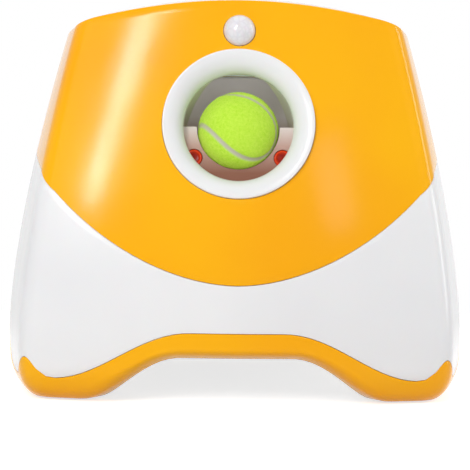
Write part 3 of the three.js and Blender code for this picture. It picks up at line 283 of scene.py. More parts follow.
def rounded_outer(low, high, rows):
    """Levels and insets of an outer wall whose two edges are rounded."""
    radius, corner = EDGE_ROUND, ROUND_MIDDLE * EDGE_ROUND
    points = [(low, radius), (low + corner, corner), (low + radius, 0)]
    for i in range(1, rows):
        points.append((low + radius + (high - low - 2 * radius) * i / rows, 0))
    return points + [(high - radius, 0), (high - corner, corner), (high, radius)]


def levels_down(high, low, inset, rows):
    return [(high + (low - high) * i / rows, inset) for i in range(rows + 1)]


def revolved(name, profile, matrix, sides, angle=SHARP_ANGLE):
    """A piece turned round Z from (radius, height) points in millimetres; a radius of 0 is a pole."""
    points, faces = [], []
    closed = profile[0][0] > 0 and profile[-1][0] > 0
    for i in range(sides):
        turn = 2 * math.pi * i / sides
        for radius, height in profile:
            spot = (radius * MM * math.cos(turn), radius * MM * math.sin(turn), height * MM)
            points.append(matrix @ Vector(spot))
    rows = len(profile)
    for i in range(sides):
        j = (i + 1) % sides
        for k in range(rows if closed else rows - 1):
            up = (k + 1) % rows
            a, b, c, d = i * rows + k, j * rows + k, j * rows + up, i * rows + up
            if profile[k][0] == 0:
                faces.append((a, c, d))
            elif profile[up][0] == 0:
                faces.append((a, b, c))
            else:
                faces.append((a, b, c, d))
    return mesh_object(name, points, faces, angle)


def rod(radius, start, end, x=0.0, y=0.0, matrix=Matrix(), sides=72):
    profile = [(0, start), (radius, start), (radius, end), (0, end)]
    return revolved("tool", profile, matrix @ shift(x, y), sides)


def stacked(outlines, matrix=Matrix()):
    """A closed piece through outlines of equal length, each (points in millimetres, height)."""
    count = len(outlines[0][0])
    points = [matrix @ Vector((x * MM, y * MM, z * MM)) for outline, z in outlines for x, y in outline]
    faces = [tuple(range(count)), tuple(range(len(points) - count, len(points)))]
    for row in range(len(outlines) - 1):
        a, b = row * count, (row + 1) * count
        faces += [(a + i, a + (i + 1) % count, b + (i + 1) % count, b + i) for i in range(count)]
    return mesh_object("tool", points, faces)


def slab(outline, start, end, matrix):
    """A flat piece with the given outline in millimetres, between two heights along Z."""
    return stacked([(outline, start), (outline, end)], matrix)


def block(width, depth, height, x, y, z, matrix):
    outline = [(x + side * width / 2, y + way * depth / 2) for side, way in CORNERS]
    return slab(outline, z - height / 2, z + height / 2, matrix)


def oval(length, height):
    reach, steps = (length - height) / 2, 28
    points = []
    for side in (1, -1):
        for i in range(steps + 1):
            turn = math.pi * i / steps - math.pi / 2
            points.append((side * (reach + height / 2 * math.cos(turn)), side * height / 2 * math.sin(turn)))
    return points


def rounded_box(length, width, radius):
    points, steps = [], 10
    for i, (x, y) in enumerate(((1, 1), (-1, 1), (-1, -1), (1, -1))):
        for k in range(steps + 1):
            turn = (i + k / steps) * math.pi / 2
            points.append((x * (length / 2 - radius) + radius * math.cos(turn),
                           y * (width / 2 - radius) + radius * math.sin(turn)))
    return points


def baked(obj):
    """The object with its modifiers applied."""
    depsgraph = bpy.context.evaluated_depsgraph_get()
    mesh = bpy.data.meshes.new_from_object(obj.evaluated_get(depsgraph))
    old = obj.data
    obj.modifiers.clear()
    obj.data = mesh
    bpy.data.meshes.remove(old)
    return obj


def boolean(obj, tools, operation):
    for tool in tools:
        modifier = obj.modifiers.new("cut", "BOOLEAN")
        modifier.operation = operation
        modifier.solver = "MANIFOLD"
        modifier.object = tool
    baked(obj)
    for tool in tools:
        bpy.data.objects.remove(tool)
    return obj


def cut(obj, tools):
    return boolean(obj, tools, "DIFFERENCE")


def join(obj, tools):
    return boolean(obj, tools, "UNION")


def common(obj, tools):
    return boolean(obj, tools, "INTERSECT")


def cut_smoothly(obj, tools):
    """Cuts a curved wall and keeps its shading by taking the normals of the wall as it was."""
    before = obj.copy()
    before.data = obj.data.copy()
    scene.collection.objects.link(before)
    cut(obj, tools)
    smooth(obj)
    modifier = obj.modifiers.new("normals", "DATA_TRANSFER")
    modifier.object = before
    modifier.use_loop_data = True
    modifier.data_types_loops = {"CUSTOM_NORMAL"}
    modifier.loop_mapping = "NEAREST_POLYNOR"
    modifier.max_distance = SHADING_REACH
    modifier.use_max_distance = True
    baked(obj)
    bpy.data.objects.remove(before)
    return obj


def ease(value, low, high):
    """0 below low, 1 above high, and smooth between."""
    share = min(1.0, max(0.0, (value - low) / (high - low)))
    return share * share * (3 - 2 * share)


# -------------------- materials
def linear(red, green, blue):
    """A display colour of 0 to 255, as scene-linear red, green, blue and alpha."""
    return tuple(c / 12.92 if c <= 0.04045 else ((c + 0.055) / 1.055) ** 2.4
                 for c in (red / 255, green / 255, blue / 255)) + (1.0,)


class Nodes:
    """Short calls for building the nodes of one material, or of the world."""

    def __init__(self, name, owners=bpy.data.materials):
        self.owner = owners.new(name)
        self.owner.use_nodes = True
        self.tree = self.owner.node_tree
        self.shader = self.tree.nodes.get("Principled BSDF")

    def add(self, kind, **values):
        """A new node; a name with a capital is an input, any other a property."""
        node = self.tree.nodes.new(kind)
        for key, value in values.items():
            if key[0].isupper():
                node.inputs[key.replace("_", " ")].default_value = value
            else:
                setattr(node, key, value)
        return node

    def put(self, value, socket):
        """Gives a socket another node's output, or a plain value."""
        if hasattr(value, "is_linked"):
            self.tree.links.new(value, socket)
        else:
            socket.default_value = value

    def coordinates(self, scale=(1, 1, 1)):
        source = self.add("ShaderNodeTexCoord")
        mapping = self.add("ShaderNodeMapping", Scale=scale)
        self.put(source.outputs["Object"], mapping.inputs["Vector"])
        return mapping.outputs["Vector"]

    def noise(self, scale, detail=3.0, roughness=0.5, vector=None):
        node = self.add("ShaderNodeTexNoise", Scale=scale, Detail=detail, Roughness=roughness)
        self.put(self.coordinates() if vector is None else vector, node.inputs["Vector"])
        return node.outputs["Fac"]

    def cell_edges(self, **values):
        """The distance to the edges between scattered cells, 260 in a metre."""
        cells = self.add("ShaderNodeTexVoronoi", feature="DISTANCE_TO_EDGE", Scale=260.0, **values)
        self.put(self.coordinates(), cells.inputs["Vector"])
        return cells.outputs["Distance"]

    def value_of(self, attribute):
        """One of the numbers that the mesh stores for its points."""
        return self.add("ShaderNodeAttribute", attribute_name=attribute).outputs["Fac"]

    def ramp(self, value, *stops):
        node = self.add("ShaderNodeValToRGB")
        elements = node.color_ramp.elements
        while len(elements) < len(stops):
            elements.new(0.5)
        for element, (place, colour) in zip(elements, stops):
            element.position = place
            element.color = colour if hasattr(colour, "__len__") else (colour, colour, colour, 1)
        self.put(value, node.inputs["Fac"])
        return node.outputs["Color"]

    def mix(self, factor, first, second):
        node = self.add("ShaderNodeMix", data_type="RGBA")
        for value, index in ((factor, 0), (first, 6), (second, 7)):
            self.put(value, node.inputs[index])
        return node.outputs[2]

    def math(self, operation, first, second):
        node = self.add("ShaderNodeMath", operation=operation)
        self.put(first, node.inputs[0])
        self.put(second, node.inputs[1])
        return node.outputs[0]

    def bump(self, height, strength, distance, under=None):
        node = self.add("ShaderNodeBump", Strength=strength, Distance=distance)
        self.put(height, node.inputs["Height"])
        if under is not None:
            self.put(under, node.inputs["Normal"])
        return node.outputs["Normal"]

    def seen(self):
        """1 for rays of the camera, of reflections and through glass, and 0 for the rest."""
        path = self.add("ShaderNodeLightPath")
        rays = [path.outputs[f"Is {kind} Ray"] for kind in ("Camera", "Glossy", "Transmission")]
        return self.math("MAXIMUM", rays[0], self.math("MAXIMUM", rays[1], rays[2]))

    def set(self, **values):
        for key, value in values.items():
            self.put(value, self.shader.inputs[key.replace("_", " ")])


PLASTIC_GRAIN, PLASTIC_MARKS = 900, 60        # scales of the noise that all plastics share


def moulded(name, colour, other, roughness, grain=0.0, coat=0.0, edge_highlight=None, subsurface=0.0, shine=0.5):
    """Moulded plastic: slow colour drift, faint flow waves, fine grain, handling marks in the gloss, and, if
    given, a painted highlight on convex edges.
    """
    m = Nodes(name)
    drift = m.noise(9, 2, 0.5)
    speck = m.noise(PLASTIC_GRAIN, 2, 0.6)
    base = m.mix(m.ramp(drift, (0.35, 0.0), (0.68, 1.0)), colour, other)
    if edge_highlight is not None:
        # Painted highlight: convex edges turn paler, as where light catches a rounded edge
        edge = m.add("ShaderNodeNewGeometry").outputs["Pointiness"]
        base = m.mix(m.ramp(edge, (0.53, 0.0), (0.62, 0.55)), base, edge_highlight)
    marks = m.noise(PLASTIC_MARKS, 5, 0.7, m.coordinates((1, 1, 0.18)))
    gloss = m.ramp(marks, (0.3, roughness * 0.86), (0.72, roughness * 1.22))
    wave = m.bump(m.noise(26, 2, 0.4), 0.05, 0.002)
    fine = m.bump(speck, 0.06 + grain, 0.0002 + 0.0004 * grain, wave)
    m.set(Base_Color=base, Roughness=gloss, Normal=fine, IOR=1.5, Specular_IOR_Level=shine)
    if coat:
        m.set(Coat_Weight=coat, Coat_Roughness=0.08)
    if subsurface:
        m.set(Subsurface_Weight=subsurface, Subsurface_Scale=0.004)
    return m.owner


def metal(name, colour, other, roughness, along=(1, 1, 12)):
    """Bare metal with drawn streaks and a little dulling."""
    m = Nodes(name)
    streak = m.noise(220, 3, 0.6, m.coordinates(along))
    dull = m.noise(35, 3, 0.6)
    base = m.mix(m.ramp(dull, (0.4, 0.0), (0.7, 1.0)), colour, other)
    m.set(Base_Color=base, Metallic=1.0, Normal=m.bump(streak, 0.12, 0.0001),
          Roughness=m.ramp(streak, (0.3, roughness * 0.75), (0.7, roughness * 1.35)))
    return m.owner


def felt_material():
    """Woven felt of a ball: matted fibres, and pale where the mesh holds the seam."""
    m = Nodes("felt")
    seam = m.value_of("seam")
    mat = m.noise(620, 5, 0.8)
    tuft = m.noise(1500, 4, 0.8, m.coordinates((1, 1.6, 1)))
    patch = m.noise(70, 3, 0.5)
    base = m.mix(m.ramp(mat, (0.32, 0.0), (0.66, 1.0)), linear(180, 238, 26), linear(216, 255, 86))
    base = m.mix(m.ramp(patch, (0.4, 0.0), (0.75, 0.25)), base, linear(210, 250, 80))
    base = m.mix(m.ramp(tuft, (0.62, 0.0), (0.8, 0.4)), base, linear(236, 255, 150))
    base = m.mix(seam, base, linear(204, 200, 186))
    height = m.math("ADD", m.math("MULTIPLY", mat, 0.7), tuft)
    m.set(Base_Color=base, Roughness=0.95, Sheen_Weight=0.7, Sheen_Roughness=0.45,
          Sheen_Tint=linear(226, 255, 120), Normal=m.bump(height, 0.8, 0.0006))
    return m.owner


def shaded_window_material():
    """Tinted red window, with painted shade darkening its middle and a paler rim."""
    m = Nodes("tinted_window")
    rim = m.value_of("rim")
    cloud = m.noise(500, 2, 0.5)
    # Painted shade: dark red in the middle, paler orange-red at the rim
    base = m.mix(rim, linear(150, 20, 2), linear(226, 62, 16))
    base = m.mix(m.ramp(cloud, (0.45, 0.0), (0.8, 0.25)), base, linear(214, 70, 30))
    m.set(Base_Color=base, Roughness=0.24, IOR=1.49, Specular_IOR_Level=0.2,
          Normal=m.bump(cloud, 0.05, 0.0001))
    return m.owner


def pocket_shaded_material():
    """White plastic with painted shade: warm and dark towards the floor of the pocket, round the red windows,
    pale higher up.
    """
    m = Nodes("pocket_plastic_painted_shade")
    level = m.add("ShaderNodeSeparateXYZ")
    m.put(m.coordinates(), level.inputs[0])
    shade = m.add("ShaderNodeMapRange")
    for index, value in enumerate((level.outputs["Z"], POCKET_SHADE_LOW * MM, POCKET_SHADE_HIGH * MM)):
        m.put(value, shade.inputs[index])
    # Painted shade with a warm red cast: brown-red low in the pocket, pale above the upper level
    base = m.ramp(shade.outputs[0], (0.0, linear(142, 92, 74)), (0.5, linear(196, 160, 150)),
                  (1.0, linear(240, 234, 232)))
    speck = m.noise(PLASTIC_GRAIN, 2, 0.6)
    gloss = m.ramp(m.noise(PLASTIC_MARKS, 5, 0.7), (0.3, 0.3), (0.72, 0.42))
    m.set(Base_Color=base, Roughness=gloss, Specular_IOR_Level=0.25, Normal=m.bump(speck, 0.06, 0.0002))
    return m.owner


def pearl_material():
    """Milky sensor lens with faint facets under a smooth skin."""
    m = Nodes("pearl_lens")
    line = m.ramp(m.cell_edges(), (0.0, 0.0), (0.2, 1.0))
    base = m.mix(line, linear(222, 219, 224), linear(229, 227, 231))
    m.set(Base_Color=base, Roughness=m.ramp(m.noise(90, 2), (0.3, 0.2), (0.7, 0.27)),
          Subsurface_Weight=0.15, Subsurface_Scale=0.002, Coat_Weight=0.4, Coat_Roughness=0.08,
          Normal=m.bump(line, 0.04, 0.0001))
    return m.owner


def rubber_material():
    """Black rubber with a fine grain, scuffed to grey."""
    m = Nodes("rubber")
    grain = m.noise(700, 4, 0.7)
    scuff = m.noise(80, 5, 0.7)
    base = m.mix(m.ramp(scuff, (0.5, 0.0), (0.8, 0.6)), linear(46, 46, 48), linear(84, 83, 82))
    m.set(Base_Color=base, Roughness=m.ramp(scuff, (0.3, 0.7), (0.8, 0.92)),
          Normal=m.bump(grain, 0.4, 0.0002))
    return m.owner


def board_material():
    """Lacquered circuit board with copper tracks under green."""
    m = Nodes("circuit_board")
    track = m.ramp(m.cell_edges(distance="CHEBYCHEV"), (0.04, 1.0), (0.1, 0.0))
    base = m.mix(track, linear(22, 92, 48), linear(60, 134, 66))
    m.set(Base_Color=base, Roughness=m.ramp(m.noise(90, 3), (0.3, 0.28), (0.7, 0.42)),
          Normal=m.bump(track, 0.3, 0.0001))
    return m.owner


# The orange and white shells carry a painted highlight on their convex edges
BY_SLOT = {
    "orange_shell": moulded("orange_gloss", linear(255, 184, 0), linear(252, 172, 0), 0.13,
                            edge_highlight=linear(255, 196, 50), shine=0.17),
    "white_shell": moulded("white_gloss", linear(238, 238, 239), linear(232, 232, 234), 0.22,
                           edge_highlight=linear(248, 248, 248), subsurface=0.06, shine=0.35),
    "white_cover": moulded("white_textured", linear(228, 228, 228), linear(218, 219, 220), 0.5, grain=0.5),
    "orange_button": moulded("orange_button", linear(255, 170, 10), linear(246, 156, 0), 0.3, grain=0.1),
    "grey_button": moulded("grey_button", linear(168, 170, 174), linear(150, 152, 156), 0.42, grain=0.2),
    "black_plastic": moulded("black_plastic", linear(34, 34, 36), linear(48, 48, 50), 0.42, grain=0.3),
    "grey_plastic": moulded("grey_plastic", linear(142, 144, 148), linear(124, 126, 130), 0.5, grain=0.3),
    "nylon": moulded("natural_nylon", linear(226, 221, 204), linear(212, 205, 184), 0.45, grain=0.15,
                     subsurface=0.2),
    "red_nylon": moulded("red_nylon", linear(196, 40, 24), linear(170, 28, 18), 0.42, grain=0.15),
    "steel": metal("drawn_steel", linear(196, 199, 203), linear(168, 171, 176), 0.28),
    "brass": metal("machined_brass", linear(214, 172, 92), linear(188, 144, 70), 0.3, (8, 1, 1)),
    "cell_jacket": moulded("cell_jacket", linear(52, 78, 122), linear(40, 62, 104), 0.3, coat=0.4),
    "felt": felt_material(),
    "red_window": shaded_window_material(),
    "pearl_lens": pearl_material(),
    "rubber": rubber_material(),
    "circuit_board": board_material(),
}


def dress(obj, material):
    obj.data.materials.clear()
    obj.data.materials.append(material)
    return obj


def piece(obj, name, body, slot, *replaced):
    """Names a finished piece, gives it its body and the material of its slot, and takes the place of CAD
    nodes.
    """
    obj.name = name
    obj.data.name = name
    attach(obj, body)
    if replaced:
        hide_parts(*replaced)
    return dress(obj, BY_SLOT[slot])


for row in frame["record"]["subparts"]:
    dress(nodes[row["node"]], BY_SLOT[row["material_slot"]])


# -------------------- housing
def panel_outline(grow):
    return oval(CONTROL_LENGTH + grow, CONTROL_HEIGHT + grow)


def upper_profile(station):
    low, high = swoop_edge(station), top_edge(station)
    ledge = high - LEDGE_DROP
    return (rounded_outer(low, high, UPPER_ROWS)
            + [(high, WALL), (ledge, WALL), (ledge, WALL + LEDGE_WIDTH),
               (ledge - LEDGE_HEIGHT, WALL + LEDGE_WIDTH)]
            + levels_down(ledge - LEDGE_HEIGHT - LEDGE_WIDTH, low, WALL, UPPER_LINING))


upper = shell_ring("upper", upper_profile)
cut_smoothly(upper, [
    rod(RING_RADIUS + GAP, -RING_DEPTH, RING_DEPTH, matrix=MOUTH, sides=128),
    rod(DOME_RADIUS + GAP, -DOME_RADIUS, DOME_RADIUS, matrix=DOME),
    slab(panel_outline(2 * GAP), -CONTROL_HEIGHT, CONTROL_HEIGHT, CONTROL),
])
piece(upper, "upper_casing", "housing", "orange_shell", "upper_housing")


def body_profile(station):
    low, high = band_edge(station) + GAP, swoop_edge(station) - GAP
    foot, neck, lap = low + TONGUE_HEIGHT, high - TONGUE_HEIGHT, WALL + GAP + TONGUE
    below = WALL + FACET_SAG + GAP
    return (rounded_outer(low, high, BODY_ROWS)
            + [(high, WALL + GAP), (high + TONGUE_HEIGHT, WALL + GAP), (high + TONGUE_HEIGHT, lap),
               (neck, lap), (neck - TONGUE, WALL)]
            + levels_down(neck - TONGUE, foot + TONGUE, WALL, BODY_LINING)[1:]
            + [(foot, lap), (low - TONGUE_HEIGHT, lap), (low - TONGUE_HEIGHT, below), (low, below)])


body = shell_ring("body", body_profile)
cut_smoothly(body, [rod(SOCKET_RADIUS + GAP, -2 * WALL, 2 * WALL, matrix=SOCKET)])
piece(body, "body_casing", "housing", "white_shell", "body_shell")


def band_profile(station):
    """The band draws in towards the arches with a rounded lip and stands straight on the feet."""
    low, high = arch_edge(station), band_edge(station)
    lip = LIP_INSET * (1 - foot_share(station))
    turn_level = low + LIP_TURN * (high - low)
    under = [(low, lip + LIP_CORNER)]
    for i in range(BAND_ROWS + 1):
        share = i / BAND_ROWS
        under.append((low + (turn_level - low) * share + LIP_LIFT * (1 - share) ** 3, lip * (1 - share) ** 2))
    outer = rounded_outer(turn_level, high, BAND_ROWS)[3:]
    return (under + outer
            + [(high, WALL), (high - TONGUE_HEIGHT, WALL), (low + FLANGE_HEIGHT, WALL),
               (low + FLANGE_HEIGHT, FLANGE_DEPTH), (low, FLANGE_DEPTH)])


band = shell_ring("band", band_profile)
piece(band, "base_band", "housing", "orange_shell", "base_ring")


# -------------------- hopper
LIP_FILLET, RIM_FILLET, BOWL_FILLET, THROAT_FILLET = 0.0008, 0.002, 0.009, 0.004      # metres


def fillet(before, corner, after, reach, steps):
    """Points of a rounded corner between two straight runs."""
    start = corner + (before - corner).normalized() * min(reach, 0.45 * (before - corner).length)
    end = corner + (after - corner).normalized() * min(reach, 0.45 * (after - corner).length)
    points = []
    for i in range(steps + 1):
        share = i / steps
        points.append(start * (1 - share) ** 2 + corner * 2 * share * (1 - share) + end * share ** 2)
    return points


def hopper_loop(station):
    """One cut through the rim, the bowl and the throat, which is round while the rim is not."""
    high = top_edge(station) + RIM_PROUD
    low = high - RIM_THICKNESS
    at = lambda level, inset: Vector(surface_point(station, level, inset))
    inside = at(BOWL_LEVEL, BOWL_INSET)
    centre = Vector((0, THROAT_MIDDLE * MM, 0))
    angle = math.atan2(inside.y - centre.y, inside.x - centre.x)

    def throat(radius, level):
        return centre + Vector((radius * math.cos(angle), radius * math.sin(angle), level)) * MM

    rim_out, lip_out, top_in = at(low, WALL + GAP), at(high, WALL + GAP), at(high, RIM_WIDTH)
    neck, seat = throat(THROAT_RADIUS, THROAT_TOP), throat(THROAT_RADIUS, THROAT_SEAT)
    outside, flange = THROAT_RADIUS + HOPPER_WALL, THROAT_SEAT + HOPPER_WALL
    return ([seat, throat(POCKET_RADIUS, THROAT_SEAT), throat(POCKET_RADIUS, flange), throat(outside, flange),
             throat(outside, THROAT_TOP - HOPPER_WALL),
             at(BOWL_LEVEL - HOPPER_WALL, BOWL_INSET - HOPPER_WALL), at(low, RIM_WIDTH - HOPPER_WALL),
             rim_out]
            + fillet(rim_out, lip_out, top_in, LIP_FILLET, 3) + fillet(lip_out, top_in, inside, RIM_FILLET, 5)
            + fillet(top_in, inside, neck, BOWL_FILLET, 7)
            + [inside + (neck - inside) * share for share in (0.3, 0.5, 0.7)]
            + fillet(inside, neck, seat, THROAT_FILLET, 5))


hopper = ring_of("hopper_bowl", [hopper_loop(s) for s in STATIONS], CALM_ANGLE)
piece(hopper, "hopper_bowl", "housing", "white_shell", "hopper")


# -------------------- mouth, pocket and windows
def mouth_profile():
    """The lip: a flare from the bore to the front, a rounded edge, and a thin skin behind it."""
    steps, lip = 16, []
    for i in range(steps + 1):
        angle = i / steps * math.pi / 2
        lip.append((BORE_RADIUS + (RING_RADIUS - BORE_RADIUS) * (1 - math.cos(angle)),
                    RING_CREST - RING_FLARE + RING_FLARE * math.sin(angle)))
    edge = [(RING_RADIUS - CREST_ROUND, RING_CREST), (RING_RADIUS - CREST_MIDDLE, RING_CREST - CREST_MIDDLE),
            (RING_RADIUS, RING_CREST - CREST_ROUND)]
    rear = [(radius + RING_SKIN / 2, height - RING_SKIN) for radius, height in lip[2:-3:3]]
    return ([(RING_REAR, -RING_DEPTH + GAP)] + lip[:-1] + edge
            + [(RING_RADIUS, -RING_DEPTH / 2), (RING_RADIUS - RING_SKIN, -RING_DEPTH / 2),
               (RING_RADIUS - RING_SKIN, RING_CREST - RING_SKIN)]
            + rear[::-1] + [(RING_REAR + RING_SKIN, -RING_DEPTH + GAP)])


piece(revolved("ring", mouth_profile(), MOUTH, 144), "mouth_lip", "housing", "white_shell", "mouth_ring")


def window_frame(side):
    """On the pocket's front face, with Z pointing back into the housing."""
    place = shift(side * WINDOW_REACH, -WINDOW_DROP, -RING_DEPTH - GAP)
    return MOUTH @ place @ Matrix.Rotation(math.pi, 4, "Y")


def pocket():
    """A chute from above and a trough to the mouth, hollow, with the flange that is screwed on."""
    flange, front = -RING_DEPTH - POCKET_FLANGE, -RING_DEPTH - GAP
    trough = BALL_RADIUS + GAP
    bulkhead = SEAT - math.sqrt(BALL_RADIUS ** 2 - STRIKER_HOLE ** 2) - GAP
    rear = bulkhead - BULKHEAD
    chute_low = PLATE_TOP + (MOUTH_LEVEL - PLATE_TOP) * CHUTE_SHARE
    above = lambda offset: block(FAR, FAR, FAR, 0, offset + FAR / 2, 0, LAUNCH)
    ahead = lambda forward: block(FAR, FAR, FAR, 0, 0, forward + FAR / 2, LAUNCH)
    chute = lambda radius, high: rod(radius, chute_low, high, 0, POCKET_MIDDLE, sides=96)
    passage = lambda radius, start: rod(radius, start, RING_DEPTH, matrix=LAUNCH, sides=96)
    at_bosses = lambda radius, start, end, sides: [
        rod(radius, start, end, x * BOSS_REACH, y * BOSS_REACH, MOUTH, sides) for x, y in CORNERS]
    outer = common(chute(POCKET_RADIUS + POCKET_WALL, THROAT_SEAT - GAP), [ahead(rear)])
    common(join(outer, [passage(POCKET_RADIUS + POCKET_WALL, SEAT)]), [above(-POCKET_WALL)])
    join(outer, [passage(trough + POCKET_WALL, rear)])
    join(outer, [rod(RING_RADIUS + OVERCUT, flange, -RING_DEPTH + 1, matrix=MOUTH, sides=96)])
    join(outer, at_bosses(BOSS_RADIUS, flange + OVERLAP, -RING_DEPTH + 2, 24))
    inner = common(chute(POCKET_RADIUS, THROAT_SEAT + OVERCUT), [ahead(bulkhead)])
    common(join(inner, [passage(POCKET_RADIUS, SEAT)]), [above(0)])
    join(inner, [passage(trough, bulkhead + OVERLAP)])
    cut(outer, [inner, block(FAR, FAR, FAR, 0, 0, front + FAR / 2, MOUTH),
                rod(STRIKER_HOLE, rear - OVERCUT, bulkhead + OVERCUT, matrix=LAUNCH, sides=64)]
        + [rod(WINDOW_RADIUS + GAP, -OVERCUT, POCKET_FLANGE + 2 * GAP, matrix=window_frame(side),
               sides=48) for side in (-1, 1)]
        + at_bosses(SCREW_HOLE, -2 * RING_DEPTH, 0, 16))
    return smooth(outer, 25)


# The pocket's material paints shade towards its floor
dress(piece(pocket(), "pocket_shell", "housing", "white_shell", "launch_pocket"), pocket_shaded_material())


def with_values(obj, attribute, values):
    """Stores one number per point, for the material to read."""
    layer = obj.data.attributes.new(attribute, "FLOAT", "POINT")
    layer.data.foreach_set("value", values)
    return obj


WINDOW_PROFILE = [(0, 1.1), (2.2, 1.05), (3.3, 0.8), (3.9, 0.4), (4.3, 0.3), (WINDOW_RADIUS - 0.25, 0.4),
                  (WINDOW_RADIUS, 0.7), (WINDOW_RADIUS, POCKET_FLANGE + GAP), (0, POCKET_FLANGE + GAP)]
for side, word in ((-1, "left"), (1, "right")):
    place = window_frame(side)
    lens = revolved("lens", WINDOW_PROFILE, place, 48, CALM_ANGLE)
    rear = rod(WINDOW_RADIUS + WINDOW_FLANGE, POCKET_FLANGE, POCKET_FLANGE + WINDOW_FLANGE_THICKNESS,
               matrix=place, sides=48)
    trough = rod(BALL_RADIUS + POCKET_WALL + 2 * GAP, TROUGH_REAR, RING_DEPTH, matrix=LAUNCH, sides=96)
    smooth(join(lens, [cut(rear, [trough])]), CALM_ANGLE)
    inverse = place.inverted()
    away = [math.hypot(*(inverse @ v.co).xy) / MM for v in lens.data.vertices]
    # The rim value carries the painted shade: 0 in a window's middle, 1 at its rim
    with_values(lens, "rim", [ease(radius, WINDOW_SHADE_INNER, WINDOW_SHADE_OUTER) for radius in away])
    piece(lens, "window_lens_" + word, "housing", "red_window", "beam_window_" + word)


# -------------------- sensor dome
def dome_profile(radius, height, steps):
    return [(radius * math.sin(i / steps * math.pi / 2), height * math.cos(i / steps * math.pi / 2))
            for i in range(steps + 1)]


behind = -WALL - FACET_SAG - GAP
rear, bore = behind - LENS_SKIN, DOME_RADIUS - LENS_SKIN
dome = (dome_profile(DOME_RADIUS, DOME_HEIGHT, 20)
        + [(DOME_RADIUS, behind), (DOME_RADIUS + DOME_FLANGE, behind), (DOME_RADIUS + DOME_FLANGE, rear),
           (bore, rear)]
        + dome_profile(bore, DOME_HEIGHT - LENS_SKIN, 10)[::-1])
piece(revolved("dome", dome, DOME, 72), "sensor_lens", "housing", "pearl_lens", "sensor_dome")


# -------------------- rear panel
CONTROL_REAR = -CONTROL_DEPTH - CONTROL_FLANGE
FLANGE_FRONT = CONTROL_REAR - GAP
PANEL_EDGE = ((0, 0.9), (-0.3, 0.4), (-0.9, 0.1), (-1.8, 0))    # growth of the outline, and depth


def flared_hole(x, radius):
    """The tool of a hole in the panel with a rounded edge."""
    front = CONTROL_PROUD
    return revolved("tool", [(0, -CONTROL_HEIGHT), (radius, -CONTROL_HEIGHT), (radius, front - CREST_ROUND),
                             (radius + CREST_MIDDLE, front - CREST_MIDDLE), (radius + 0.6, front + 0.2),
                             (0, front + 0.2)], CONTROL @ shift(x, 0), 72)


panel = stacked([(panel_outline(PANEL_FLANGE), CONTROL_REAR), (panel_outline(PANEL_FLANGE), -CONTROL_DEPTH),
                 (panel_outline(0), -CONTROL_DEPTH)]
                + [(panel_outline(grow), CONTROL_PROUD - depth) for grow, depth in PANEL_EDGE], CONTROL)
join(panel, [rod(PANEL_POST, PANEL_POST_REAR, CONTROL_REAR + GAP, x, 0, CONTROL, 24)
             for x in (-PANEL_POST_ACROSS, PANEL_POST_ACROSS)])
cut(panel, [flared_hole(x, radius + GAP) for x, radius in (
    (POWER_ACROSS, POWER_RADIUS), (DISTANCE_ACROSS, DISTANCE_RADIUS), (LENS_ACROSS, LENS_RADIUS))])
piece(smooth(panel), "rear_panel", "housing", "white_shell", "control_panel")


def flanged(name, front, x, radius, flange, sides):
    """A piece of the panel, from the points of its front, with a flange that keeps it behind the panel."""
    rear = FLANGE_FRONT - LENS_SKIN
    return revolved(name, front + [(radius, FLANGE_FRONT), (radius + flange, FLANGE_FRONT),
                                   (radius + flange, rear), (0, rear)],
                    CONTROL @ shift(x, 0), sides, CALM_ANGLE)


def push_button(x, radius):
    """A button with a dished front and a rounded edge of radius 1."""
    front, depth, drop = CONTROL_PROUD + BUTTON_PROUD, 0.8, 0.02
    dish = [(radius * share, front - depth * (1 - share ** 2) ** 1.5 - drop)
            for share in (0, 0.2, 0.4, 0.55, 0.7, 0.8)]
    edge = [(radius - 1 + math.sin(turn), front - 1 + math.cos(turn))
            for turn in (0, 0.4, 0.8, 1.2, math.pi / 2)]
    return flanged("button", dish + edge, x, radius, 1.5, 96)


piece(push_button(POWER_ACROSS, POWER_RADIUS), "power_key", "power_button_body", "orange_button",
      "power_button")
piece(push_button(DISTANCE_ACROSS, DISTANCE_RADIUS), "distance_key", "distance_button_body", "grey_button",
      "distance_button")
LIGHT_FRONT = [(0, 1.1), (0.7, 1.06), (1.2, 0.95), (1.7, 0.75), (1.92, 0.5), (LENS_RADIUS, 0.2)]
piece(flanged("light", LIGHT_FRONT, LENS_ACROSS, LENS_RADIUS, 1.4, 48), "indicator_light", "housing",
      "red_window", "indicator_lens")

# The inlet: contact pin, well, front, flange behind the wall, closed rear
behind, rear = -WALL - 2 * FACET_SAG, -WALL - 2.5
JACK_PROFILE = [(0, -3.4), (0.6, -3.4), (0.9, -3.6), (1, -4), (1, -9), (3.2, -9), (3.2, -0.2), (3.35, 0.1),
                (3.6, 0.3), (5.5, 0.3), (5.85, 0.15), (SOCKET_RADIUS, -0.2), (SOCKET_RADIUS, behind),
                (8.5, behind), (8.5, rear), (SOCKET_RADIUS, rear), (SOCKET_RADIUS, -14), (0, -14)]
piece(revolved("jack", JACK_PROFILE, SOCKET, 72), "power_inlet", "housing", "black_plastic", "dc_socket")


# -------------------- underside
FEET = list(zip(CORNERS, ("front_left", "front_right", "rear_right", "rear_left")))
LEG_PROFILE = [(0, 3.4), (12.8, 3.4), (13.6, 3.7), (14, 4.4), (14, PLATE_TOP - 0.1), (0, PLATE_TOP - 0.1)]
PAD_PROFILE = [(0, 0.35), (2.2, 0.35), (2.6, 0), (5.4, 0), (5.8, 0.35), (6.6, 0.35), (7, 0), (11.6, 0),
               (12.2, 0.25), (12.5, 0.8), (12.5, 3.1), (0, 3.1)]


def plate_outline(inset):
    return [(x / MM, y / MM) for x, y, _ in (surface_point(s, PLATE_LEVEL, inset) for s in STATIONS)]


def door_outline(grow):
    box = rounded_box(DOOR_LENGTH + 2 * grow, DOOR_WIDTH + 2 * grow, DOOR_CORNER)
    return [(x, y + DOOR_MIDDLE) for x, y in box]


def at_legs(radius, low, high, sides):
    return [rod(radius, low, high, x * LEG_X, y * LEG_Y, sides=sides) for x, y in CORNERS]


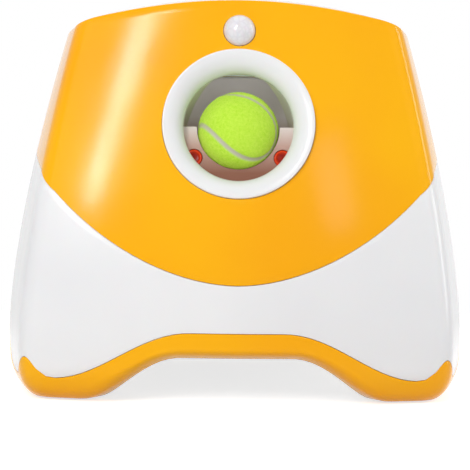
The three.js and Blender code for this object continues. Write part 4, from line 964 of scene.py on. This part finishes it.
inset = WALL + TONGUE + FACET_SAG + 3 * GAP
cover = stacked([(plate_outline(inset + 0.4), PLATE_LEVEL), (plate_outline(inset), PLATE_LEVEL + 0.4),
                 (plate_outline(inset), PLATE_TOP)])
join(cover, [revolved("leg", LEG_PROFILE, shift(x * LEG_X, y * LEG_Y), 64) for x, y in CORNERS])
cut(cover, at_legs(LEG_BORE, LEG_FLOOR, PLATE_TOP + OVERCUT, 64) + at_legs(HEAD_HOLE, 0, HEAD_SEAT, 32)
    + at_legs(SCREW_HOLE, 0, SHANK_HOLE, 20)
    + [stacked([(door_outline(GAP), PLATE_LEVEL - OVERCUT), (door_outline(GAP), PLATE_TOP + OVERCUT)])])
for x in (-PILLAR_ACROSS, PILLAR_ACROSS):
    pillar = rod(PILLAR_RADIUS, PLATE_LEVEL + 0.2, MOUTH_LEVEL, x, PILLAR_MIDDLE, sides=32)
    guide = block(GUIDE_CUT, GUIDE_CUT, FAR, 0, GUIDE_CUT / 2 - GUIDE_DROP - 2 * GAP, 0, LAUNCH)
    join(cover, [cut(pillar, [guide])])
piece(smooth(cover), "underside_cover", "housing", "white_cover", "bottom_cover")

door = stacked([(door_outline(-0.5), PLATE_LEVEL), (door_outline(-0.12), PLATE_LEVEL + 0.15),
                (door_outline(0), PLATE_LEVEL + 0.5), (door_outline(0), PLATE_TOP)])
SCOOP_PROFILE = [(SCOOP_RADIUS * math.sin(i / 16 * math.pi), -SCOOP_DEPTH * math.cos(i / 16 * math.pi))
                 for i in range(17)]
cut(door, [revolved("scoop", SCOOP_PROFILE, shift(0, DOOR_MIDDLE + DOOR_WIDTH / 2 - SCOOP_INSET, PLATE_LEVEL),
                    64, 60)])
piece(smooth(door), "battery_lid", "battery_door_body", "white_cover", "battery_door")


def cross_screw(low, reach, x, y, matrix):
    """A pan-head screw along Z, its head at the low end, with a cross recess."""
    place = matrix @ shift(x, y)
    head, neck, crest, root, pitch, blade, slot = 3, 2.2, 1.5, 1.28, 0.6, 0.7, 3.2
    profile = [(0, low), (1.6, low), (2.5, low + 0.25), (2.9, low + 0.75), (head, low + 1.2),
               (head, low + neck), (crest, low + neck)]
    for i in range(int((reach - low - 3.2) / pitch)):
        turn = low + 2.4 + pitch * i
        profile += [(root, turn + 0.1), (crest, turn + 0.3), (root, turn + 0.5)]
    profile += [(1.2, reach - 0.4), (0.8, reach), (0, reach)]
    screw = revolved("screw", profile, place, 32, CALM_ANGLE)
    cut(screw, [block(slot, blade, 2.2, 0, 0, low, place), block(blade + 0.01, slot, 2.21, 0, 0, low, place)])
    return smooth(screw, 35)


for (x, y), word in FEET:
    shoe = revolved("shoe", PAD_PROFILE, shift(x * LEG_X, y * LEG_Y), 72)
    piece(shoe, "shoe_" + word, "housing", "rubber", "foot_pad_" + word)
    piece(cross_screw(3.4, 24.2, x * LEG_X, y * LEG_Y, Matrix()), "cover_screw_" + word, "housing", "steel",
          "base_screw_" + word)
low, high = -RING_DEPTH - POCKET_FLANGE - GAP - 2.2, 8 - RING_DEPTH - GAP
for x, y in CORNERS:
    word = ("lower_" if y < 0 else "upper_") + ("left" if x < 0 else "right")
    piece(cross_screw(low, high, x * BOSS_REACH, y * BOSS_REACH, MOUTH), "shell_screw_" + word, "housing",
          "steel", "pocket_screw_" + word)


# -------------------- ball
FELT_DEPTH, FELT_FLOOR = 0.0003, 0.0001       # metres, like the rest of these
FELT_LUMPS, LUMP_HEIGHT, FELT_FUZZ, FUZZ_HEIGHT = 16, 0.00022, 95, 0.00018
SEAM_WAVE, SEAM_STEPS, SEAM_HALF, SEAM_SINK, SEAM_BARE = 0.26, 720, 0.0013, 0.0006, 0.85
SEAM_TURNS = ((-14.3, "Z"), (21.8, "X"), (130.7, "Y"))


def seam_line():
    """The one closed seam as directions from the ball's middle."""
    turned_by = Matrix.Identity(3)
    for degrees, axis in SEAM_TURNS:
        turned_by = turned_by @ Matrix.Rotation(math.radians(degrees), 3, axis)
    seam = []
    for i in range(SEAM_STEPS):
        turn = 2 * math.pi * i / SEAM_STEPS
        x = (1 - SEAM_WAVE) * math.cos(turn) + SEAM_WAVE * math.cos(3 * turn)
        y = (1 - SEAM_WAVE) * math.sin(turn) - SEAM_WAVE * math.sin(3 * turn)
        z = 2 * math.sqrt(SEAM_WAVE * (1 - SEAM_WAVE)) * math.sin(2 * turn)
        seam.append(tuple(turned_by @ Vector((x, y, z)).normalized()))
    return np.array(seam)


def felt_ball():
    """A felt-covered ball: a fine sphere, matted by noise, with the one closed seam sunk into it."""
    core = BALL_RADIUS * MM - FELT_DEPTH
    bm = bmesh.new()
    bmesh.ops.create_icosphere(bm, subdivisions=6, radius=1.0)
    obj = from_bmesh("felt_ball", bm)
    mesh = obj.data
    way = np.empty(len(mesh.vertices) * 3)
    mesh.vertices.foreach_get("co", way)
    way = way.reshape(-1, 3)
    away = np.arccos(np.clip((way @ seam_line().T).max(axis=1), -1, 1)) * core
    inside = np.clip((SEAM_HALF * 1.5 - away) / (SEAM_HALF * 0.9), 0, 1)
    depths = inside * inside * (3 - 2 * inside)
    points = np.empty_like(way)
    for i, depth in enumerate(depths):
        direction = Vector(way[i])
        mat = (noise.fractal(direction * FELT_LUMPS, 1.0, 2.0, 4) * LUMP_HEIGHT
               + noise.noise(direction * FELT_FUZZ) * FUZZ_HEIGHT)
        points[i] = way[i] * (core + (1 - SEAM_BARE * depth) * (mat + FELT_FLOOR) - SEAM_SINK * depth)
    points *= np.minimum(1, BALL_RADIUS * MM / np.linalg.norm(points, axis=1))[:, None]
    points += np.array(LAUNCH @ Vector((0, 0, BALL_REST * MM)))
    mesh.vertices.foreach_set("co", points.ravel())
    mesh.update()
    mesh.shade_smooth()
    return with_values(obj, "seam", depths)


piece(felt_ball(), "felt_ball", "launched_ball", "felt", "ball")


# -------------------- stage, lights and camera
WHITE = (1, 1, 1, 1)
FLOOR_SIZE, FLOOR_NEAR, FLOOR_FAR, FLOOR_LIFT = 6.0, 0.2, 0.42, 0.7
FLOOR_DARK, FLOOR_PALE = (0.80, 0.80, 0.80, 1), (0.82, 0.82, 0.82, 1)
WORLD_LIGHT, WORLD_SEEN = 0.43, 1.0           # the world's strength as light, and where it is seen


def stage():
    """A pale floor that keeps the object's shadow and turns pure white further off."""
    bm = bmesh.new()
    bmesh.ops.create_grid(bm, x_segments=1, y_segments=1, size=FLOOR_SIZE)
    floor = from_bmesh("floor", bm)
    m = Nodes("floor")
    seen = m.seen()
    away = m.add("ShaderNodeVectorMath", operation="LENGTH")
    m.put(m.coordinates(), away.inputs[0])
    fade = m.ramp(m.math("MULTIPLY", away.outputs["Value"], 1 / FLOOR_FAR),
                  (FLOOR_NEAR / FLOOR_FAR, 0.0), (1.0, 1.0))
    glow = m.add("ShaderNodeEmission", Color=WHITE, Strength=1.0)
    lift = m.add("ShaderNodeEmission", Color=WHITE)
    m.put(m.math("MULTIPLY", seen, FLOOR_LIFT), lift.inputs["Strength"])
    m.set(Base_Color=m.ramp(m.noise(14, 3), (0.3, FLOOR_DARK), (0.7, FLOOR_PALE)), Roughness=0.9,
          Specular_IOR_Level=0.0)
    total = m.add("ShaderNodeAddShader")
    m.put(m.shader.outputs[0], total.inputs[0])
    m.put(lift.outputs[0], total.inputs[1])
    blend = m.add("ShaderNodeMixShader")
    for index, value in enumerate((m.math("MULTIPLY", seen, fade), total.outputs[0], glow.outputs[0])):
        m.put(value, blend.inputs[index])
    m.put(blend.outputs[0], m.tree.nodes["Material Output"].inputs["Surface"])
    dress(floor, m.owner)


stage()


def area_light(name, place, target, width, height, power, roll=0.0):
    data = bpy.data.lights.new(name, "AREA")
    data.shape = "RECTANGLE"
    data.size, data.size_y = width, height
    data.energy = power
    light = linked(name, data)
    light.location = place
    facing = (Vector(target) - Vector(place)).to_track_quat("-Z", "Y")
    light.rotation_euler = (facing @ Quaternion((0, 0, 1), math.radians(roll))).to_euler()


# Name, place, target, width, height, watts and roll in degrees
for light in (
        ("key", (-1.3, -1.5, 1.3), (-0.04, 0, 0.14), 1.0, 1.2, 4.6),
        ("fill", (1.5, -1.2, 0.9), (0, 0, 0.1), 0.9, 1.4, 1.2),
        ("top", (0, 0.1, 1.9), (0, 0, 0), 1.6, 1.6, 5),
        ("back", (0.4, 1.8, 1.1), (0, 0, 0.1), 1.6, 1.0, 11),
        ("left_strip", (-0.48, -1.27, 0.88), (-0.07, -0.118, 0.19), 0.06, 0.75, 8.2, -22),
        ("right_soft", (0.44, -1.36, 0.62), (0.06, -0.119, 0.11), 0.12, 0.26, 0.5, 15),
        ("right_strip", (1.5, 0.1, 0.6), (0.1, -0.1, 0.12), 0.3, 1.1, 6)):
    area_light(*light)

world = Nodes("studio", bpy.data.worlds)
scene.world = world.owner
strength = world.add("ShaderNodeMix", data_type="FLOAT")
for index, value in ((0, world.seen()), (2, WORLD_LIGHT), (3, WORLD_SEEN)):
    world.put(value, strength.inputs[index])
background = world.tree.nodes["Background"]
world.put(strength.outputs[0], background.inputs["Strength"])
world.put(WHITE, background.inputs["Color"])

CAMERA_DISTANCE, CAMERA_HEIGHT, CAMERA_TURN = 1.39, 0.193, math.radians(-0.67)
CAMERA_ROLL, SENSOR_WIDTH = math.radians(0.66), 36.0
HORIZON_ROW, MIDDLE_COLUMN, FOCAL_PIXELS, FRAME_PIXELS = 77.0, 235.05, 2150.0, 470.0
camera_data = bpy.data.cameras.new("camera")
camera_data.sensor_width = SENSOR_WIDTH
camera_data.lens = FOCAL_PIXELS / FRAME_PIXELS * SENSOR_WIDTH
camera_data.clip_start, camera_data.clip_end = 0.05, 50.0
camera = linked("camera", camera_data)
camera.location = (CAMERA_DISTANCE * math.sin(CAMERA_TURN), -CAMERA_DISTANCE * math.cos(CAMERA_TURN),
                   CAMERA_HEIGHT)
tilt = math.atan((FRAME_PIXELS / 2 - HORIZON_ROW) / FOCAL_PIXELS)
swing = math.atan((MIDDLE_COLUMN - FRAME_PIXELS / 2) / FOCAL_PIXELS)
look = Matrix.Rotation(CAMERA_TURN + swing, 3, "Z") @ Matrix.Rotation(math.pi / 2 - tilt, 3, "X")
camera.rotation_euler = (look @ Matrix.Rotation(CAMERA_ROLL, 3, "Z")).to_euler()
scene.camera = camera
scene.view_settings.view_transform = "Standard"
